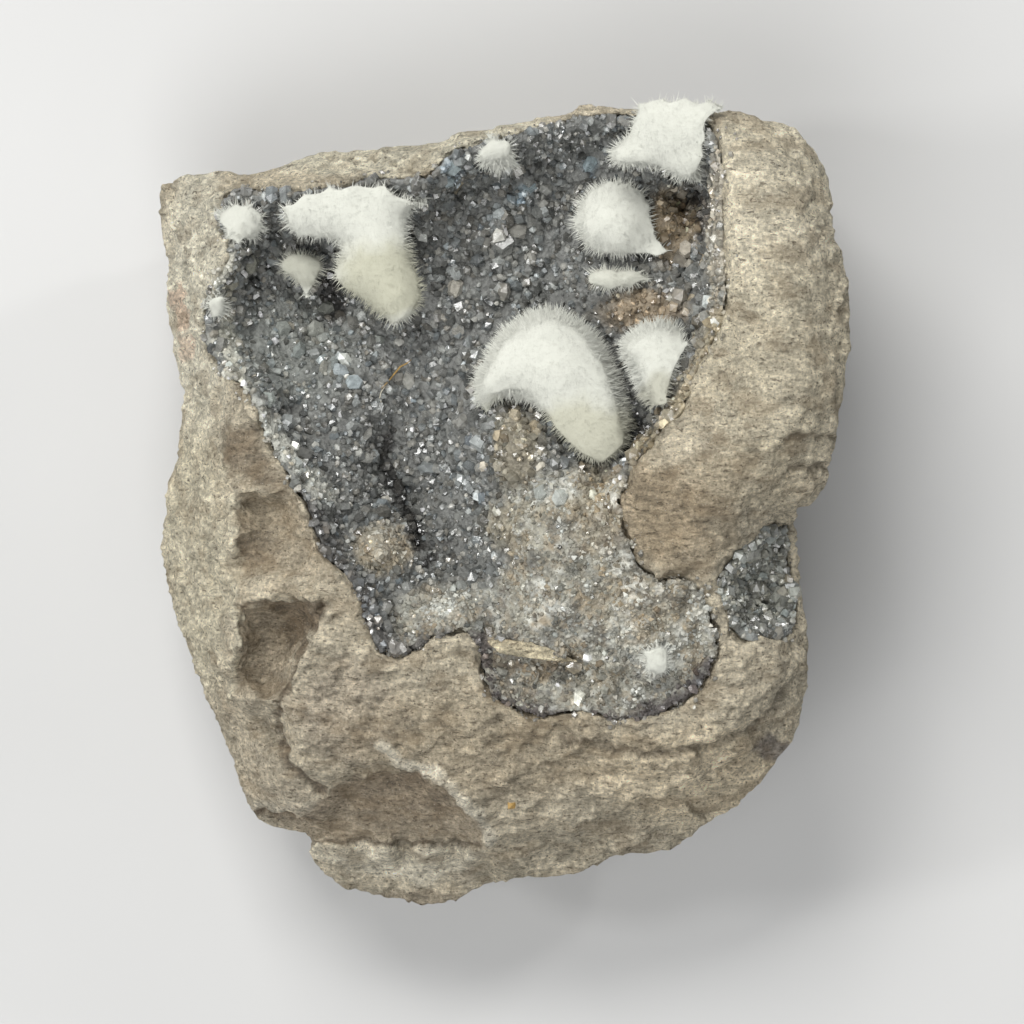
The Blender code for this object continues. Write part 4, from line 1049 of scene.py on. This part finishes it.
# The sprays' ground colour, and patches as on the rock: the lower parts are cream and darker, the
# darkening painted shade
SPRAY_COLOUR = (184, 185, 176)
SPRAY_PATCHES = [
    ((385, 282), (55, 40), (160, 159, 141), 0.9),     # cream lower parts, darker with painted shade
    ((300, 270), (25, 25), (163, 163, 149), 0.8),
    ((590, 440), (62, 40), (162, 161, 145), 0.9),
    ((668, 398), (30, 25), (164, 163, 149), 0.85),
    ((500, 420), (25, 25), (172, 172, 158), 0.7),
    ((615, 275), (40, 16), (174, 174, 162), 0.6),
]
# Each spray: the middles and radii in pixels of the balls its needles radiate from, and how many
SPRAYS = {
    "strontianite_big_ball": (
        [(562, 386, 66), (590, 428, 42), (508, 378, 35), (536, 346, 36)], 32000),
    "strontianite_right_ball": ([(661, 362, 42), (668, 394, 28)], 13000),
    "strontianite_centre_ball": ([(613, 219, 39), (660, 250, 12)], 11000),
    "strontianite_flat_spray": ([(610, 275, 18), (634, 275, 18)], 3400),
    "strontianite_top_right_cluster": (
        [(664, 126, 28), (700, 122, 25), (692, 158, 24), (629, 155, 19)], 14000),
    "strontianite_top_spray": ([(498, 155, 21)], 4400),
    "strontianite_left_cluster": (
        [(308, 215, 25), (350, 207, 27), (398, 206, 26), (386, 240, 27), (372, 268, 30), (399, 298, 25)],
        21000),
    "strontianite_corner_ball": ([(242, 222, 25)], 5000),
    "strontianite_small_spray": ([(300, 266, 20), (306, 284, 10)], 3600),
    "strontianite_rim_spray": ([(212, 308, 16)], 1500),
    "strontianite_lower_spray": ([(657, 661, 16)], 2600),
}
# How many needles are drawn for each one of the table, and the share of them kept on a spray's top
NEEDLE_PLENTY = 1.25
TOP_SHARE = 0.6
# Needles, in millimetres: radius at the root, and how deep the root stands
NEEDLE_ROOT = (0.02, 0.036)
NEEDLE_ROOT_DEPTH = (0.15, 0.4)
# Share of the needles at the rim that are long spikes, and their length
SPIKE_SHARE = 0.15
SPIKE_LENGTH = (0.3, 0.85)
# The core: size of its faces, its depth below the solid on top and at the rim, and its smoothing,
# in rounds for all and for each millimetre of radius
CORE_SIZE = 0.25
CORE_DEPTH = (-0.04, 0.16)
CORE_ROUNDS = (5, 8)
# How far the shading of core and needles is turned upwards, which keeps the fur soft
UPWARD = 2.0


def spray_centres(lobes, tree):
    """The middle of each ball of needles, below the spray's surface, and its radius."""
    centres = []
    radii = []
    for column, row, radius_px in lobes:
        x, y = face_point((column, row))
        radius = radius_px * PIXEL
        hit = tree.ray_cast(Vector((x, y, 100.0)), Vector((0.0, 0.0, -1.0)))[0]
        centres.append((x, y, hit.z - 0.9 * radius))
        radii.append(radius)
    return np.array(centres), np.array(radii)


def needle_spikes(roots, tips, widths, ways, rng):
    """Closed three-sided needles: points, triangles and soft normals, 4 points and 4 faces each."""
    count = len(roots)
    across, along = frames_of(unit(tips - roots), rng)
    ring = ring_of(across, along, 3)
    points = np.concatenate([roots[:, None, :] + ring * widths[:, None, None], tips[:, None, :]], axis=1)
    normals = np.concatenate([unit(0.35 * ring + ways[:, None, :]), ways[:, None, :]], axis=1)
    faces = np.array([(0, 1, 3), (1, 2, 3), (2, 0, 3), (0, 2, 1)])
    faces = faces[None, :, :] + NEEDLE_POINTS * np.arange(count)[:, None, None]
    return points.reshape(-1, 3), faces.reshape(-1, 3), normals.reshape(-1, 3)


def make_spray(node, lobes, count, material, seed):
    """A ball of needles: a soft white core in a short fur, and separate spikes round its rim."""
    rng = np.random.default_rng(seed)
    up = np.array([0.0, 0.0, UPWARD])
    points, faces = triangles_of(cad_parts[node])
    centres, radii = spray_centres(lobes, tree_of(points, faces))
    points, faces = evened(points, faces, CORE_SIZE)
    rounds = CORE_ROUNDS[0] + int(CORE_ROUNDS[1] * radii.mean())
    points = smoothed(points, faces, rounds, np.full(len(points), 0.6))
    normals = normals_of(points, faces)
    steep = smooth_step((0.75 - normals[:, 2]) / 0.5)
    rim_depth = min(CORE_DEPTH[1], 0.13 * radii.mean())
    core = points - normals * (CORE_DEPTH[0] + (rim_depth - CORE_DEPTH[0]) * steep)[:, None]
    facing = normals[faces].mean(axis=1)[:, 2] > -0.3
    places, ways = places_on(core, faces, normals, facing, int(NEEDLE_PLENTY * count), rng)
    rim = smooth_step((0.75 - ways[:, 2]) / 0.5)
    keep = rng.random(len(places)) < TOP_SHARE + (1.0 - TOP_SHARE) * rim
    places, ways, rim = places[keep], ways[keep], rim[keep]
    count = len(places)
    apart = np.linalg.norm(places[:, None, :] - centres[None, :, :], axis=2) / radii[None, :]
    radial = unit(places - centres[apart.argmin(axis=1)])
    sway = np.stack([noise(places, 0.5, seed + axis) for axis in range(3)], axis=1)
    out = unit(ways + 0.4 * radial + (0.2 + 0.25 * rim)[:, None] * sway
               + (0.3 + 0.05 * rim)[:, None] * rng.normal(size=ways.shape))
    tuft = 0.5 + 0.5 * noise(places, 0.4, seed + 7)
    spike = rng.random(count) < SPIKE_SHARE * rim
    reach = 0.05 + 0.2 * tuft * rng.random(count) + rim * 0.18 * tuft * rng.random(count)
    reach = np.where(spike, (0.6 + 0.7 * tuft) * rng.uniform(*SPIKE_LENGTH, count), reach)
    tips = places + out * reach[:, None]
    roots = tips - out * (reach + rng.uniform(*NEEDLE_ROOT_DEPTH, count))[:, None]
    widths = rng.uniform(*NEEDLE_ROOT, count) * (1.0 + 0.5 * spike)
    spikes, spike_faces, spike_normals = needle_spikes(roots, tips, widths, unit(ways + up), rng)
    # The tints darken the sprays' lower parts: cream colour and painted shade
    tints = coloured(np.vstack([core, places]), linear(SPRAY_COLOUR), SPRAY_PATCHES, [], seed + 11)
    needle_tints = tints[len(core):] * rng.uniform(0.78, 1.04, (count, 1))
    piece = mesh_piece(
        node + "_needles", np.vstack([core, spikes]), np.vstack([faces, spike_faces + len(core)]),
        material, True,
        np.vstack([tints[:len(core)], np.repeat(needle_tints, NEEDLE_POINTS, axis=0)]),
        np.vstack([unit(normals + up), spike_normals]))
    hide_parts(node)


# The stage

# Lights: place and size in metres, watts, colour
LIGHTS = {
    "key_light": ((-0.14, 0.30, 0.42), (0.26, 0.20), 2.7, (1.0, 0.99, 0.97)),
    "front_fill": ((-0.10, -0.26, 0.55), (0.40, 0.40), 2.5, (1.0, 1.0, 1.0)),
    "left_glint": ((-0.42, 0.02, 0.28), (0.06, 0.06), 0.75, (1.0, 1.0, 1.0)),
    "right_glint": ((0.36, 0.28, 0.30), (0.05, 0.05), 0.5, (1.0, 1.0, 1.0)),
}
LIGHT_AIM = (0.0, 0.0, 0.015)
WORLD_COLOUR = (0.95, 0.97, 1.0, 1.0)
WORLD_STRENGTH = 0.29
FLOOR_HALF = 1.2


def area_light(name, place, size, watts, colour):
    data = bpy.data.lights.new(name, "AREA")
    data.shape = "RECTANGLE"
    data.size, data.size_y = size
    data.energy = watts
    data.color = colour
    light = bpy.data.objects.new(name, data)
    light.location = place
    aim = Vector(LIGHT_AIM) - Vector(place)
    light.rotation_euler = aim.to_track_quat("-Z", "Y").to_euler()
    bpy.context.scene.collection.objects.link(light)


def make_stage():
    mesh = bpy.data.meshes.new("floor")
    corners = [(x * FLOOR_HALF, y * FLOOR_HALF, 0.0) for x, y in ((-1, -1), (1, -1), (1, 1), (-1, 1))]
    mesh.from_pydata(corners, [], [(0, 1, 2, 3)])
    floor = bpy.data.objects.new("floor", mesh)
    floor.data.materials.append(floor_material())
    bpy.context.scene.collection.objects.link(floor)
    for name, settings in LIGHTS.items():
        area_light(name, *settings)
    world = bpy.data.worlds.new("studio")
    world.use_nodes = True
    background = world.node_tree.nodes["Background"]
    background.inputs["Color"].default_value = WORLD_COLOUR
    background.inputs["Strength"].default_value = WORLD_STRENGTH
    bpy.context.scene.world = world


def make_camera():
    """Straight above the display face, with the photograph's frame round the specimen."""
    span = FRAME_PX * PIXEL
    distance = span * LENS / SENSOR
    x, y = face_point((FRAME_PX / 2, FRAME_PX / 2))
    data = bpy.data.cameras.new("camera")
    data.lens = LENS
    data.sensor_width = SENSOR
    data.clip_start = 0.01
    data.clip_end = 20.0
    camera = bpy.data.objects.new("camera", data)
    camera.location = (x * METRE, y * METRE, (FACE_HEIGHT + distance) * METRE)
    camera.rotation_euler = (0.0, 0.0, 0.0)
    bpy.context.scene.collection.objects.link(camera)
    bpy.context.scene.camera = camera


def main():
    make_camera()
    make_stage()
    bpy.context.scene.view_settings.view_transform = "Standard"
    limestone = limestone_material()
    rock = make_rock(limestone)
    quartz = crust_material()
    materials = {"crystal": crystal_material(), "grain": grain_material()}
    vug = make_crust("vug_quartz_crust", "vug_crust_skin", quartz, 71)
    pocket = make_crust("side_pocket_quartz_crust", "pocket_crust_skin", quartz, 83)
    cover_crust(vug, "vug_druse_crystals", "vug_pale_grains", VUG_CRYSTALS, VUG_GRAINS, materials, 200)
    cover_crust(pocket, "pocket_druse_crystals", "", POCKET_CRYSTALS, 0, materials, 300)
    make_rim_crystals(rock, (vug, pocket), materials["crystal"])
    crust_tree = tree_of(*vug[:2])
    rock_tree = tree_of(*rock[:2])
    make_big_crystals(crust_tree, materials["crystal"])
    make_small_things(crust_tree, rock_tree, limestone)
    white = needle_material()
    for number, (node, (lobes, count)) in enumerate(SPRAYS.items()):
        make_spray(node, lobes, count, white, 500 + 20 * number)


main()
